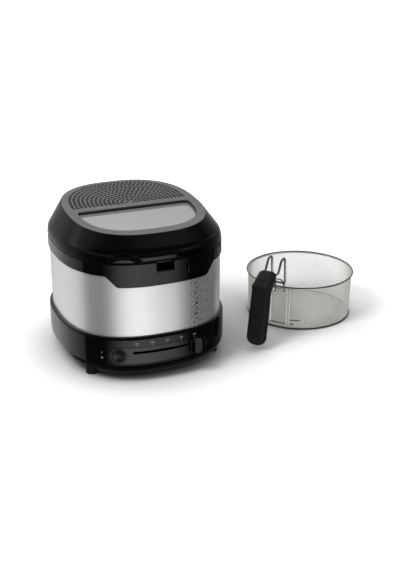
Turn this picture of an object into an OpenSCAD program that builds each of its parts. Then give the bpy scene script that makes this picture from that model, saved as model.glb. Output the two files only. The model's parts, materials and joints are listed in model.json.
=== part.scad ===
/* [Body] */
// Half width of the lid and collar
lid_half_width = 135; // [133:1:137]
// Half depth of the lid and collar
lid_half_depth = 147.8; // [146:0.2:150]
// Squareness of the plan outline, where 2 is an ellipse
squareness = 2.55; // [2.5:0.05:2.6]
// Height of the base housing's top edge
base_top = 77.5; // [77:0.5:78]
// Height of the seam between the collar and the lid
seam_height = 198; // [197.5:0.5:198.5]
// Height of the lid's top plate above the middle of the body
top_height = 244.5; // [243:0.5:246]
// Tilt of the top plate, falling to the front, in degrees
top_tilt = 4; // [3.8:0.1:4.2]
// Height of the rubber feet
foot_height = 10; // [10:0.5:10.5]

/* [Bowl] */
// Inner radius of the oil bowl
bowl_radius = 101; // [100.5:0.5:101]
// Height of the bowl's inner floor
bowl_floor = 47; // [46.5:0.5:47]
// How far the bowl's axis lies in front of the body's axis
bowl_forward = 34.7; // [34:0.1:34.7]

/* [Lid] */
// How far the lid opens, in degrees
lid_opening = 78; // [60:1:80]
// Half width of the viewing window's opening
window_half_width = 95.5; // [92:0.5:96]
// Reach of the window's opening in front of the middle of the lid
window_reach = 104; // [100:0.5:105]
// Radius of each vent hole
vent_radius = 2.3; // [1.8:0.1:2.4]
// Number of arched rows of vent holes
vent_rows = 14; // [10:1:14]

/* [Controls] */
// Radius of the round power button
power_radius = 10; // [9:0.5:10]
// Travel of the lid's release button
release_travel = 3.5; // [2:0.5:3.5]
// Sideways place of the slider's highest setting
slider_high = 50; // [48:1:50]
// Sideways place of the slider's lowest setting
slider_low = -48; // [-50:1:-46]

/* [Basket] */
// Outer radius of the basket's rim wire
basket_radius = 97.3; // [96:0.1:97.5]
// Height of the basket's rim wire
basket_height = 79; // [77:0.5:80]
// Sideways place of the basket's axis from the body's axis
basket_right = 323.9; // [320:0.1:326]
// Place of the basket's axis behind the body's axis
basket_back = 14.5; // [10:0.5:16]
// Turn of the basket's handle from the front, to the left, in degrees
handle_turn = 50; // [45:1:52]
// Distance between the two hook wires of the handle
hook_spacing = 24; // [23:0.5:24]

/* [Hidden] */
$fn = 64;

// The origin is the middle of the footprint of body and basket together
set_middle = [141.6, -2.2];
outline_points = 96;
eps = 0.01;

// Heights, from the floor up
base_floor = foot_height;
deck_base = base_top - 3;
collar_bottom = seam_height - 20;
fascia_bottom = seam_height - 38;
deck_low = seam_height - 17;
deck_high = seam_height - 14.5;
lid_bottom = seam_height + 0.4;
flange_high = deck_low;
flange_low = flange_high - 1.5;
gasket_low = flange_low - 2;
pan_low = seam_height - 5;

// Plan growth of each shell against the lid's outline
base_grow = 3;
base_wall = 2.5;
band_grow = -2.2;
band_wall = 0.8;
collar_lip = -1.9;
collar_wall = -5;
seat_gap = 0.05;
deck_opening = -8;
plate_grow = -24.2;
plate_thick = 2.2;
window_depth = 5;
pan_grow = -7.6;
filter_half = 97;

// Notch that the basket's hook wires pass through
notch_half = 14.5;

// Arched finger grip at the lid's front left, and the screws of the inner pan
finger_x = -65;
pan_screw = [104, 78];

// Places on the floor of the base, from the body's axis
foot_place = [105, 82];
base_screw = [86, 92];
tie_rod = [97, 97];
gland_x = 60;
gland_z = 32;
gland_radius = 7.8;

// Heater and its controls
element_radius = 64;
element_wire = 3.5;
element_ends = [110, 70];
bracket_reach = 71;
thermostat_corner = [34, -112];
thermostat_size = [34, 26, 15];
probe_place = [20, -50];
fuse_length = 16;
terminal_corner = [46, 96];
terminal_size = [30, 18, 14];
terminal_pitch = 9;
lead_radius = 1.3;
lead_length = 140;
front_leads = [-60, 90, -102, -98];
switch_behind = 15.6;
lamp_radius = 2.4;
spring_wire = 0.5;

// Release button, on the front right of the collar
release_x = 61;
release_left = -25;
release_right = 21;
release_low = 166;
release_high = 192;
release_corner = 9;
release_slant = 49.3;

// Control panel on the front of the base
panel_left = -90;
panel_right = 72;
panel_low = 33;
panel_high = 61;
button_x = -75;
button_z = 47.5;
slot_z = 52;
slot_half_height = 2;
slider_arc = 274;

// Lid hinge, just behind the body at the seam
hinge_y = 153;
hinge_z = seam_height + 1;
knuckle_radius = 4.5;
hinge_pin_radius = 2.5;

// Wires of the basket and of its handle
rim_wire = 1.6;
rail_wire = 1.5;
hook_wire = 2;
pivot_radius = 2;
pivot_clearance = 0.06;
pivot_reach = 101;
pivot_z = 90;
hook_out = 16;
hook_top = 141;
hook_foot = [131, 119.5];
hook_end = [154, 120.5];
grip_top_reach = 172.5;
grip_top_z = 116;
grip_foot_reach = 195.5;
grip_foot_z = 11;
grip_half_width = 15.2;
grip_half_thick = 9;
grip_round = 6;
cap_back = [153, 121.5];
cap_front = [180, 109.5];
cap_low = [171, 103];
screw_places = [40, 90];

// Superellipse around the body's axis, evenly spaced in angle
function oval(half_x, half_y, power = squareness, from = 0, to = 360, count = outline_points) =
    [for (i = [0:count - (to - from == 360 ? 1 : 0)])
        let (t = from + (to - from) * i / count,
            r = pow(pow(abs(cos(t)) / half_x, power) + pow(abs(sin(t)) / half_y, power), -1 / power))
        [r * cos(t), r * sin(t)]];

// Depth of the outline's front at a sideways place
function front_y(x, grow) = -(lid_half_depth + grow)
    * pow(1 - pow(abs(x) / (lid_half_width + grow), squareness), 1 / squareness);

// Turn of the outward normal at the front, away from straight forward
function front_turn(x, grow) = atan(
    sign(x) * pow(abs(x) / (lid_half_width + grow), squareness - 1) / (lid_half_width + grow)
    / (pow(-front_y(x, grow) / (lid_half_depth + grow), squareness - 1) / (lid_half_depth + grow)));

// Points of a circular arc
function arc(centre, radius, from, to, steps = 6) =
    [for (i = [0:steps]) let (a = from + (to - from) * i / steps) centre + radius * [cos(a), sin(a)]];

// Rounded rectangle, as points
function rounded(x0, y0, x1, y1, r) = concat(
    arc([x1 - r, y1 - r], r, 0, 90), arc([x0 + r, y1 - r], r, 90, 180),
    arc([x0 + r, y0 + r], r, 180, 270), arc([x1 - r, y0 + r], r, 270, 360));

module body_place() translate([-set_middle[0], -set_middle[1], 0]) children();

module basket_place() translate([basket_right - set_middle[0], basket_back - set_middle[1], 0]) children();

// Frame of the handle: x runs along the rim, -y outward
module handle_place() basket_place() rotate([0, 0, -handle_turn]) children();

module slab(grow, low, high)
    translate([0, 0, low]) linear_extrude(high - low)
        polygon(oval(lid_half_width + grow, lid_half_depth + grow));

module oval_ring(outer, inner, low, high)
    difference() {
        slab(outer, low, high);
        slab(inner, low - 1, high + 1);
    }

// Tube wall between two radii
module tube(outer, inner, low, high)
    difference() {
        translate([0, 0, low]) cylinder(r = outer, h = high - low);
        translate([0, 0, low - 1]) cylinder(r = inner, h = high - low + 2);
    }

// Closed skin through rings of [growth in x, growth in y, height, slope]
module loft(rings, count = outline_points) {
    points = [for (r = rings) for (p = oval(lid_half_width + r[0], lid_half_depth + r[1], count = count))
        [p[0], p[1], r[2] + r[3] * p[1]]];
    top = (len(rings) - 1) * count;
    faces = concat(
        [[for (i = [0:count - 1]) i]],
        [[for (i = [0:count - 1]) top + count - 1 - i]],
        [for (k = [0:len(rings) - 2]) for (i = [0:count - 1]) let (j = (i + 1) % count)
            [k * count + i, (k + 1) * count + i, k * count + j]],
        [for (k = [0:len(rings) - 2]) for (i = [0:count - 1]) let (j = (i + 1) % count)
            [k * count + j, (k + 1) * count + i, (k + 1) * count + j]]);
    polyhedron(points, faces);
}

// Frame on the body's front wall: x along the wall, y inward, z up
module wall_place(x, grow, z)
    translate([x, front_y(x, grow), z]) rotate([0, 0, front_turn(x, grow)]) children();

// A profile in x and z, extruded inward from -out to in
module through_wall(out, in) translate([0, in, 0]) rotate([90, 0, 0]) linear_extrude(out + in) children();

module release_profile(grow)
    polygon(concat(
        arc([release_right - release_corner, release_high - release_corner], release_corner + grow, 0, 90),
        arc([release_left + release_corner, release_high - release_corner], release_corner + grow, 90, 180),
        arc([release_left + release_corner, release_low + release_corner], release_corner + grow, 180, 270),
        arc([release_right - 10.2, release_low + 6], 6 + grow, 270, 270 + release_slant),
        arc([release_right - 6, release_low + 10.9], 6 + grow, 270 + release_slant, 360)));

module base_skin(shrink) {
    rings = [[-11, foot_height], [-5.5, foot_height + 5], [-0.8, foot_height + 10.5],
        [2, foot_height + 15.5], [base_grow, foot_height + 20], [base_grow, base_top - 4],
        [base_grow - 0.5, base_top - 1.5], [base_grow - 1.8, base_top]];
    loft([for (r = rings) [r[0] - shrink, r[0] - shrink, r[1] + (r == rings[0] ? -shrink : 0), 0]]);
}

module base_housing() color("#141414") body_place()
    difference() {
        base_skin(0);
        intersection() {
            base_skin(base_wall);
            slab(20, 0, deck_base - 3);
        }
        slab(deck_opening, deck_base - 4, base_top + 1);
        slab(band_grow + 0.3, deck_base, base_top + 1);
        translate([0, 0, panel_low + panel_high]) difference() {
            panel_profile_prism(0.3);
            slab(base_grow - 1.5, -100, 0);
        }
        translate([slider_low - 6, -170, slot_z - slot_half_height])
            cube([slider_high - slider_low + 12, 40, 2 * slot_half_height]);
        wall_place(button_x, base_grow, button_z) rotate([90, 0, 0])
            translate([0, 0, -20]) cylinder(r = power_radius + 2.6, h = 40);
        translate([gland_x, 125, gland_z]) rotate([-90, 0, 0]) cylinder(r = gland_radius + 0.2, h = 45);
    }

// Capsule around the controls, hung below z = 0
module panel_profile_prism(grow)
    translate([0, -100, -panel_low - panel_high]) rotate([90, 0, 0]) linear_extrude(80)
        polygon(rounded(panel_left - grow, panel_low - grow, panel_right + grow, panel_high + grow,
            (panel_high - panel_low) / 2));

module control_panel() color("#1b1b1b") body_place()
    difference() {
        intersection() {
            oval_ring(base_grow - 0.4, base_grow - 1.4, panel_low, panel_high);
            translate([0, 0, panel_low + panel_high]) panel_profile_prism(0);
        }
        translate([slider_low - 6, -170, slot_z - slot_half_height])
            cube([slider_high - slider_low + 12, 40, 2 * slot_half_height]);
        wall_place(button_x, base_grow, button_z) rotate([90, 0, 0])
            translate([0, 0, -20]) cylinder(r = power_radius + 2.6, h = 40);
    }

module button_ring() color("#2c2c2c") body_place()
    wall_place(button_x, base_grow, button_z) rotate([90, 0, 0])
        difference() {
            translate([0, 0, -4]) cylinder(r = power_radius + 2.5, h = 4.8);
            translate([0, 0, -5]) cylinder(r = power_radius + 0.4, h = 7);
        }

module base_plate() color("#1e1e1e") body_place()
    difference() {
        slab(-14.2, base_floor + 0.5, base_floor + 3);
        for (x = [-1, 1], y = [-1, 1])
            translate([base_screw[0] * x, base_screw[1] * y, 0]) cylinder(r = 2.2, h = 20);
        for (i = [-3:3])
            translate([12 * i - 2, 30, 0]) cube([4, 50, 20]);
    }

module rubber_feet() color("#101010") body_place()
    difference() {
        for (x = [-1, 1], y = [-1, 1])
            translate([foot_place[0] * x, foot_place[1] * y, 0]) cylinder(r = 9.5, h = foot_height + 11);
        base_skin(-0.05);
    }

module base_screws() color("silver") body_place()
    for (x = [-1, 1], y = [-1, 1])
        translate([base_screw[0] * x, base_screw[1] * y, 0]) {
            translate([0, 0, base_floor - 1.5]) cylinder(r = 3.6, h = 2);
            translate([0, 0, base_floor + 0.5 - eps]) cylinder(r = 2, h = 8);
        }

module steel_band() color("#c4c4c2") body_place()
    difference() {
        oval_ring(band_grow, band_grow - band_wall, deck_base, deck_low);
        wall_place(release_x, 0, 0) through_wall(20, 30) release_profile(1.6);
        translate([-notch_half - 2, -170, deck_low - 4]) cube([2 * notch_half + 4, 60, 20]);
    }

// Room for the release button behind the front wall
module release_pocket()
    wall_place(release_x, 0, 0) through_wall(20, 10) release_profile(0.5);

module notch_space(low)
    translate([-notch_half, -170, low]) cube([2 * notch_half, 60, 30]);

// Wall around the deck, open at the notch
module collar() color("#161616") body_place()
    difference() {
        oval_ring(0, collar_wall, deck_low, seam_height);
        notch_space(deck_low - 1);
        release_pocket();
    }

module collar_skirt() color("#161616") body_place()
    difference() {
        union() {
            oval_ring(0, collar_lip, collar_bottom, deck_low);
            intersection() {
                oval_ring(0, collar_lip, fascia_bottom, collar_bottom + 1);
                translate([0, -100, 0]) rotate([90, 0, 0]) linear_extrude(80) fascia_profile();
            }
        }
        release_pocket();
    }

// Deck around the bowl's rim, with the sill of the notch
module deck_plate() color("#161616") body_place()
    difference() {
        union() {
            slab(collar_wall - seat_gap, deck_low, deck_high);
            intersection() {
                slab(0, deck_low, deck_high);
                translate([seat_gap, 0, 0]) notch_space(deck_low - 1);
                translate([-seat_gap, 0, 0]) notch_space(deck_low - 1);
            }
        }
        translate([0, -bowl_forward, deck_low - 1]) cylinder(r = bowl_radius + 2.5, h = 10, $fn = 128);
        release_pocket();
    }

// Apron of the skirt that hangs down over the steel band
module fascia_profile()
    polygon(concat(
        [[-93.2, collar_bottom + 2]],
        arc([-93.2, collar_bottom - 8], 8, 90, 90 - release_slant),
        arc([-70.3, fascia_bottom + 8], 8, 270 - release_slant, 270),
        arc([70.3, fascia_bottom + 8], 8, 270, 270 + release_slant),
        arc([93.2, collar_bottom - 8], 8, 90 + release_slant, 90),
        [[93.2, collar_bottom + 2]]));

module bowl() color("#3a3a3c") body_place() translate([0, -bowl_forward, 0])
    rotate_extrude($fn = 128) polygon(concat(
        [[0, bowl_floor - 2], [bowl_radius - 12, bowl_floor - 2]],
        arc([bowl_radius - 12, bowl_floor + 12], 13.5, 284, 360, 8),
        [[bowl_radius + 1.5, flange_low], [bowl_radius + 6.5, flange_low],
         [bowl_radius + 6.5, flange_high], [bowl_radius, flange_high]],
        arc([bowl_radius - 12, bowl_floor + 12], 12, 360, 270, 8),
        [[0, bowl_floor]]));

module bowl_gasket() color("#8c3b2e") body_place() translate([0, -bowl_forward, 0])
    tube(bowl_radius + 6, bowl_radius + 2, gasket_low, flange_low);

module heat_shield() color("silver") body_place() translate([0, -bowl_forward, 0]) {
    tube(bowl_radius + 3.3, bowl_radius + 2.5, 64, gasket_low - 1 + eps);
    tube(bowl_radius + 6.5, bowl_radius + 2.5, gasket_low - 1, gasket_low);
}

module heater_plate() color("#9a9a9a") body_place() translate([0, -bowl_forward, bowl_floor - 4.5])
    cylinder(r = 78, h = 2.5);

module heating_element() color("#5b5048") body_place() translate([0, -bowl_forward, bowl_floor - 8.5]) {
    rotate([0, 0, element_ends[0]]) rotate_extrude(angle = 360 + element_ends[1] - element_ends[0])
        translate([element_radius, 0]) circle(r = element_wire, $fn = 32);
    for (a = element_ends)
        rotate([0, 0, a]) translate([element_radius, 0, -15]) {
            cylinder(r = element_wire - 0.3, h = 15, $fn = 32);
            translate([0, 0, 15]) sphere(r = element_wire + 0.5, $fn = 32);
            translate([0, 0, -7]) cylinder(r = 1.6, h = 8);
        }
}

module heater_bracket() color("#b0b0b0") body_place() translate([0, -bowl_forward, 0])
    for (a = [0, 120, 240])
        rotate([0, 0, a + 100]) {
            translate([bracket_reach, -8, base_floor + 3])
                cube([1.5, 16, bowl_floor - 4.5 - base_floor - 3]);
            translate([bracket_reach, -8, base_floor + 3]) cube([12, 16, 1.5]);
        }

module thermostat_body() color("#d8d2c4") body_place() {
    translate([thermostat_corner[0], thermostat_corner[1], base_floor + 3]) {
        cube(thermostat_size);
        translate(thermostat_size / 2) cylinder(r = 8, h = thermostat_size[2] / 2 + 5);
    }
}

module thermostat_probe() color("#b87333") body_place() translate([0, -bowl_forward, 0]) {
    translate([probe_place[0], probe_place[1], bowl_floor - 9.5]) {
        rotate([0, 90, 60]) cylinder(r = 2.5, h = 34);
        translate([0, 0, -8]) cylinder(r = 0.8, h = 8);
    }
}

module thermal_fuse() color("#cfcfcf") body_place() translate([-30, -bowl_forward, bowl_floor - 8.5])
    rotate([0, 90, 0]) {
        cylinder(r = 3.5, h = fuse_length);
        translate([0, 0, -fuse_length / 2]) cylinder(r = 0.8, h = 2 * fuse_length);
    }

module terminal_block() color("#e6e0d0") body_place()
    translate([terminal_corner[0], terminal_corner[1], base_floor + 3])
        difference() {
            cube(terminal_size);
            for (i = [-1:1])
                translate([terminal_size[0] / 2 + terminal_pitch * i, terminal_size[1] / 2, 5])
                    cylinder(r = 2.6, h = terminal_size[2]);
        }

// Straight insulated leads, laid on the base plate
module wiring() color("#7a2f2a") body_place() {
    lead_z = base_floor + 5.5;
    for (i = [0:2])
        translate([terminal_corner[0] + 4 + terminal_pitch * i, terminal_corner[1] - 1, lead_z])
            rotate([90, 0, 0]) cylinder(r = lead_radius, h = lead_length, $fn = 24);
    for (y = [front_leads[2], front_leads[3]])
        translate([front_leads[0], y, lead_z]) rotate([0, 90, 0])
            cylinder(r = lead_radius, h = front_leads[1], $fn = 24);
}

module switch_body() color("#d8d8d8") body_place()
    wall_place(button_x, base_grow, button_z) {
        translate([-8, switch_behind, -9]) cube([16, 6, 18]);
        translate([-10, switch_behind, -22]) cube([20, 12, 14]);
    }

module pilot_lamp() color("#c8401e") body_place()
    wall_place(button_x + 25, base_grow, button_z - 6) {
        translate([0, 20, 0]) rotate([90, 0, 0]) cylinder(r = lamp_radius, h = 10);
    }

// Gland that the mains lead would leave by, clamped through the back wall
module cord_gland() color("#0e0e0e") body_place() translate([gland_x, 0, gland_z])
    rotate([-90, 0, 0]) difference() {
        union() {
            translate([0, 0, 130]) cylinder(r = gland_radius, h = 22);
            translate([0, 0, 147.5]) cylinder(r = gland_radius + 2.7, h = 4.5);
            translate([0, 0, 130]) cylinder(r = gland_radius + 1.2, h = 3);
        }
        translate([0, 0, 129]) cylinder(r = 3.8, h = 40);
    }

module tie_rods() color("#a8a8a8") body_place()
    for (x = [-1, 1], y = [-1, 1])
        translate([tie_rod[0] * x, tie_rod[1] * y, base_floor + 3])
            cylinder(r = 2, h = deck_low - base_floor - 3);

// Axis of the lid's hinge, running along x
module hinge_axis(x) translate([x, hinge_y, hinge_z]) rotate([0, 90, 0]) children();

module hinge_bracket() color("#1a1a1a") body_place()
    difference() {
        for (s = [-1, 1])
            translate([s * 35 - 7, 0, 0]) {
                hinge_axis(0) cylinder(r = knuckle_radius, h = 14);
                translate([0, lid_half_depth + 0.2, seam_height - 16])
                    cube([14, hinge_y - lid_half_depth - 0.2, 17]);
            }
        hinge_axis(-60) cylinder(r = hinge_pin_radius, h = 120);
    }

module hinge_pin() color("silver") body_place() {
    hinge_axis(-43) cylinder(r = hinge_pin_radius, h = 86);
    hinge_axis(-44.5) cylinder(r = 3.6, h = 1.5 + eps);
}

module lid_springs() color("#9c9c9c") body_place()
    for (s = [-1, 1], i = [0:3])
        hinge_axis(s * (22 + 1.6 * i)) rotate_extrude() translate([3.3, 0]) circle(r = 0.7, $fn = 20);

module button_springs() color("#9c9c9c") body_place() {
    wall_place(button_x, base_grow, button_z) for (i = [0:4])
        translate([0, 8.5 + 1.5 * i, 0]) rotate([90, 0, 0])
            rotate_extrude() translate([power_radius / 2, 0]) circle(r = spring_wire, $fn = 16);
    wall_place(release_x, 0, 171) for (i = [0:3])
        translate([-14, 9.2 + 1.1 * i, 0]) rotate([90, 0, 0])
            rotate_extrude() translate([3, 0]) circle(r = spring_wire, $fn = 16);
}

module release_button() color("#0d0d0d") body_place()
    intersection() {
        oval_ring(0.8, -3.4, release_low - 2, release_high + 2);
        wall_place(release_x, 0, 0) through_wall(20, 30) release_profile(0);
    }

module latch_hook() color("#3c3c3c") body_place() wall_place(release_x, 0, 0) {
    translate([-5, 3.8, 184.2]) cube([10, 4.2, 4]);
    translate([-5, 5.6, 184.2]) cube([10, 2.4, 20]);
    translate([-5, 4.4, 201.4]) cube([10, 3.6, 2.8]);
}

module power_button() color("#101010") body_place()
    wall_place(button_x, base_grow, button_z) rotate([90, 0, 0])
        translate([0, 0, -5]) cylinder(r = power_radius, h = 6.5);

module button_plunger() color("#e0e0e0") body_place()
    wall_place(button_x, base_grow, button_z) rotate([90, 0, 0])
        translate([0, 0, -12]) cylinder(r = 3, h = 7);

// Frame that rides along the slider's arc: y inward, x along the arc
module slider_place()
    translate([0, slider_arc - lid_half_depth - base_grow, 0])
        rotate([0, 0, asin(slider_high / slider_arc)]) translate([0, -slider_arc, 0]) children();

module slider_knob() color("#1f1f1f") body_place() slider_place()
    difference() {
        translate([0, -1.1, 0]) rotate([90, 0, 0]) linear_extrude(13.5)
            polygon(rounded(-7.5, 34, 7.5, 62, 4));
        for (s = [-1, 1], i = [0:3])
            translate([s * 7.5 - 0.7, -13.5 + 3 * i, 30]) cube([1.4, 1.2, 36]);
    }

module slider_carriage() color("#cfcfcf") body_place() slider_place() {
    translate([-2.5, -1.1 - eps, slot_z - 1.4]) cube([5, 8, 2.8]);
    translate([-9, 5.2, slot_z - 9]) cube([18, 2, 18]);
}

// Frame of the tilted top plate, z = 0 on its top face
module lid_top() translate([0, 0, top_height]) rotate([top_tilt, 0, 0]) children();

module lid_slab(grow, low, high)
    lid_top() slab(grow, low, high);

module lid_shell() color("#121212") body_place() {
    slope = tan(top_tilt);
    difference() {
        loft([[-0.6, -0.6, lid_bottom, 0], [0, 0, lid_bottom + 1, 0], [0, 0, seam_height + 6, 0],
            [-0.8, -1.8, seam_height + 11, 0], [-2.6, -5.4, seam_height + 15.5, 0],
            [-5, -10.3, seam_height + 19.3, slope / 7], [-22.9, -22.7, top_height - 1.3, slope],
            [-23.9, -23.6, top_height, slope]]);
        lid_inside(0);
        lid_slab(plate_grow + 0.1, -plate_thick, 5);
        lid_slab(-29, -8, 5);
        translate([finger_x, -100, seam_height]) rotate([90, 0, 0]) linear_extrude(80)
            finger_arch(0);
    }
}

// Room inside the lid's wall, drawn in by a gap
module lid_inside(gap) {
    slope = tan(top_tilt);
    rings = [[-2.5, -2.5, lid_bottom - 1, 0], [-2.5, -2.5, seam_height + 6, 0],
        [-3.6, -4.6, seam_height + 10, 0], [-5.6, -8.4, seam_height + 13.8, 0],
        [-8, -13, seam_height + 17, slope / 7], [-27.2, -27, top_height - 4.4, slope]];
    loft([for (r = rings) [r[0] - gap, r[1] - gap, r[2] - (r == rings[0] ? gap : 0), r[3]]]);
}

// Arch of the finger grip on the lid's front edge
module finger_arch(grow)
    intersection() {
        translate([0, -9]) circle(r = 24 + grow, $fn = 96);
        translate([-40, -1]) square([80, 30]);
    }

module finger_grip() color("#222222") body_place()
    intersection() {
        difference() {
            lid_inside(0.1);
            lid_inside(1.9);
        }
        slab(0, lid_bottom, top_height);
        translate([finger_x, -100, seam_height]) rotate([90, 0, 0]) linear_extrude(80)
            finger_arch(1);
    }

// Window opening: the front half of an oval, closed by a straight back edge
function window_points(grow) = let (corner = 8 + grow, back = -3 + grow)
    concat(
        arc([window_half_width + grow - corner, back - corner], corner, 0, 90),
        arc([-window_half_width - grow + corner, back - corner], corner, 90, 180),
        oval(window_half_width + grow, window_reach + grow, power = 2.8, from = 188, to = 352, count = 60));

// Vent holes of one arched row
module vent_row(row) {
    half = window_half_width * row / vent_rows - 1;
    rise = half * 1.045;
    count = round(3.14 * row);
    for (p = oval(half, rise, power = 2.45, from = 0, to = 180, count = count))
        translate([p[0], p[1] + 15]) circle(r = vent_radius, $fn = 20);
}

module lid_top_plate() color("#626262") body_place() lid_top()
    translate([0, 0, -plate_thick]) linear_extrude(plate_thick)
        difference() {
            polygon(oval(lid_half_width + plate_grow, lid_half_depth + plate_grow));
            polygon(window_points(0));
            for (row = [1:vent_rows]) vent_row(row);
        }

module window_solid(grow, low, high)
    translate([0, 0, low]) linear_extrude(high - low) polygon(window_points(grow));

module window_frame() color("#0c0c0c") body_place() lid_top()
    difference() {
        window_solid(2, -window_depth, -plate_thick);
        window_solid(0, -window_depth - 1, 0);
    }

module viewing_window() color("#a8acae", 0.6) body_place() lid_top()
    window_solid(1.5, -window_depth - 3, -window_depth);

module window_gasket() color("#202020") body_place() lid_top()
    difference() {
        window_solid(4, -window_depth - 3.5, -window_depth);
        window_solid(1.6, -window_depth - 4, 1 - window_depth);
    }

module filter_shape(grow, low, high)
    translate([0, 13, low]) linear_extrude(high - low)
        intersection() {
            polygon(oval(filter_half + grow, filter_half + grow, power = 2.45));
            translate([-filter_half - 10, -grow]) square([2 * filter_half + 20, filter_half + 10]);
        }

module vent_filter() color("#8d8f90") body_place() lid_top()
    filter_shape(-2, -12, -4);

module filter_tray() color("#191919") body_place() lid_top()
    difference() {
        filter_shape(1, -15, -5);
        filter_shape(-1.5, -13, -4);
        translate([0, 0, -4]) filter_shape(-14, -20, 0);
    }

// Opening in the inner pan, under the window or under the filter
module pan_openings() {
    translate([0, 0, pan_low - 2]) linear_extrude(8) {
        polygon(rounded(-60, -96, 60, -16, 18));
        polygon(rounded(-60, 24, 60, 84, 18));
    }
}

module inner_pan() color("#7e8082") body_place()
    difference() {
        union() {
            slab(pan_grow, pan_low, pan_low + 2);
            oval_ring(pan_grow, pan_grow - 2, pan_low + 2 - eps, seam_height + 8);
        }
        pan_openings();
        wall_place(release_x, 0, pan_low - 2) translate([-8, -2, 0]) cube([16, 15, 25]);
        for (x = [-1, 1], y = [-1, 1])
            translate([pan_screw[0] * x, pan_screw[1] * y, 0]) cylinder(r = 1.6, h = 300);
    }

module lid_seal() color("#5a5a5a") body_place()
    difference() {
        translate([0, -bowl_forward, 0]) tube(bowl_radius + 6, bowl_radius + 3, deck_high + 0.3, pan_low);
        translate([-notch_half - 1, -170, deck_high - 1]) cube([2 * notch_half + 2, 60, 20]);
        wall_place(release_x, 0, deck_high - 1) translate([-30, -2, 0]) cube([60, 15, 10]);
    }

module lid_screws() color("silver") body_place()
    for (x = [-1, 1], y = [-1, 1])
        translate([pan_screw[0] * x, pan_screw[1] * y, 0]) {
            translate([0, 0, pan_low - 1.8]) cylinder(r = 3, h = 1.8);
            translate([0, 0, pan_low - 0.5]) cylinder(r = 1.5, h = 12);
        }

module latch_catch() color("silver") body_place() wall_place(release_x, 0, 0) {
    translate([-5, 2.9, seam_height + 1]) cube([10, 1, 1.4]);
    translate([-5, 2.9, seam_height + 1]) cube([10, 0.7, 5]);
}

module lid_hinge_arm() color("#1a1a1a") body_place()
    difference() {
        union() {
            hinge_axis(-20) cylinder(r = knuckle_radius, h = 40);
            translate([-20, lid_half_depth + 0.1, hinge_z])
                cube([40, hinge_y - lid_half_depth - 0.1, knuckle_radius]);
            translate([-20, lid_half_depth + 0.1, hinge_z]) cube([40, 2.4, 9]);
        }
        hinge_axis(-30) cylinder(r = hinge_pin_radius + 0.06, h = 60);
    }

module basket_mesh() color("#cfcabb") basket_place()
    rotate_extrude($fn = 128) polygon([
        [0, 1.8], [basket_radius - 5, 1.8], [basket_radius - 3.4, basket_height],
        [basket_radius - 4.6, basket_height], [basket_radius - 6.2, 3], [0, 3]]);

module wire_ring(radius, wire, z)
    translate([0, 0, z]) rotate_extrude($fn = 128) translate([radius, 0]) circle(r = wire, $fn = 24);

module basket_rim_wire() color("#55585b") basket_place()
    wire_ring(basket_radius - rim_wire, rim_wire, basket_height + rim_wire - 1);

module basket_base_ring() color("#3f4144") basket_place()
    wire_ring(basket_radius - 3.3, rim_wire, rim_wire);

// Upright wire pairs that stiffen the wall at the handle
module basket_side_rails() color("#9fa2a5") handle_place()
    for (s = [-1, 1], d = [0, 5])
        translate([s * (13 + d), -sqrt(pow(basket_radius + 1.8, 2) - pow(13 + d, 2)), 12])
            cylinder(r = rail_wire, h = basket_height - 14, $fn = 24);

module basket_bracket() color("#85888b") handle_place()
    difference() {
        union() {
            translate([-9, -basket_radius - 2, basket_height - 12]) cube([18, 1.4, 10]);
            for (s = [-1, 1])
                translate([s * 8 - 1, 0, 0]) {
                    translate([0, -basket_radius - 3, basket_height - 12])
                        cube([2, 3.4, pivot_z - basket_height + 12]);
                    translate([0, -pivot_reach, pivot_z]) rotate([0, 90, 0]) cylinder(r = 4.2, h = 2);
                }
        }
        translate([-20, -pivot_reach, pivot_z]) rotate([0, 90, 0])
            cylinder(r = pivot_radius + pivot_clearance, h = 40);
    }

module basket_tie_wires() color("#46484b") handle_place()
    for (s = [-1, 1])
        translate([s * 20, -basket_radius - 1.2, 17]) rotate([0, s * 90, s * 18 - s * 2])
            cylinder(r = 1, h = 18, $fn = 20);

// One bent wire: pivot rod, two rising legs, two bends and two falling legs
module handle_wires() color("#8d9093") handle_place() {
    bend = hook_out / 2;
    bend_z = hook_top - hook_wire - bend;
    translate([-hook_spacing / 2, -pivot_reach, pivot_z]) rotate([0, 90, 0])
        cylinder(r = pivot_radius, h = hook_spacing);
    for (s = [-1, 1]) translate([s * hook_spacing / 2, 0, 0]) {
        wire_run([pivot_reach, pivot_z], [pivot_reach, bend_z]);
        translate([0, -pivot_reach - bend, bend_z]) rotate([90, 0, 90])
            rotate_extrude(angle = 180, $fn = 64) translate([bend, 0]) circle(r = hook_wire, $fn = 32);
        wire_run([pivot_reach + hook_out, bend_z], hook_foot);
        wire_run(hook_foot, hook_end);
    }
}

// Straight wire with round ends between two places of [reach, height]
module wire_run(from, to) {
    way = to - from;
    for (place = [from, to])
        translate([0, -place[0], place[1]]) sphere(r = hook_wire + 0.02, $fn = 32);
    translate([0, -from[0], from[1]]) rotate([90 - atan2(way[1], way[0]), 0, 0])
        cylinder(r = hook_wire, h = norm(way), $fn = 32);
}

// Lean of the grip's centre line from the vertical
function grip_tilt() = atan((grip_foot_reach - grip_top_reach) / (grip_top_z - grip_foot_z));

grip_length = norm([grip_foot_reach - grip_top_reach, grip_top_z - grip_foot_z]);

// Frame of the grip: z falls along it from its top, -y outward
module grip_place() handle_place()
    translate([0, -grip_top_reach, grip_top_z]) rotate([180 - grip_tilt(), 0, 0])
        mirror([0, 1, 0]) children();

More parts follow.
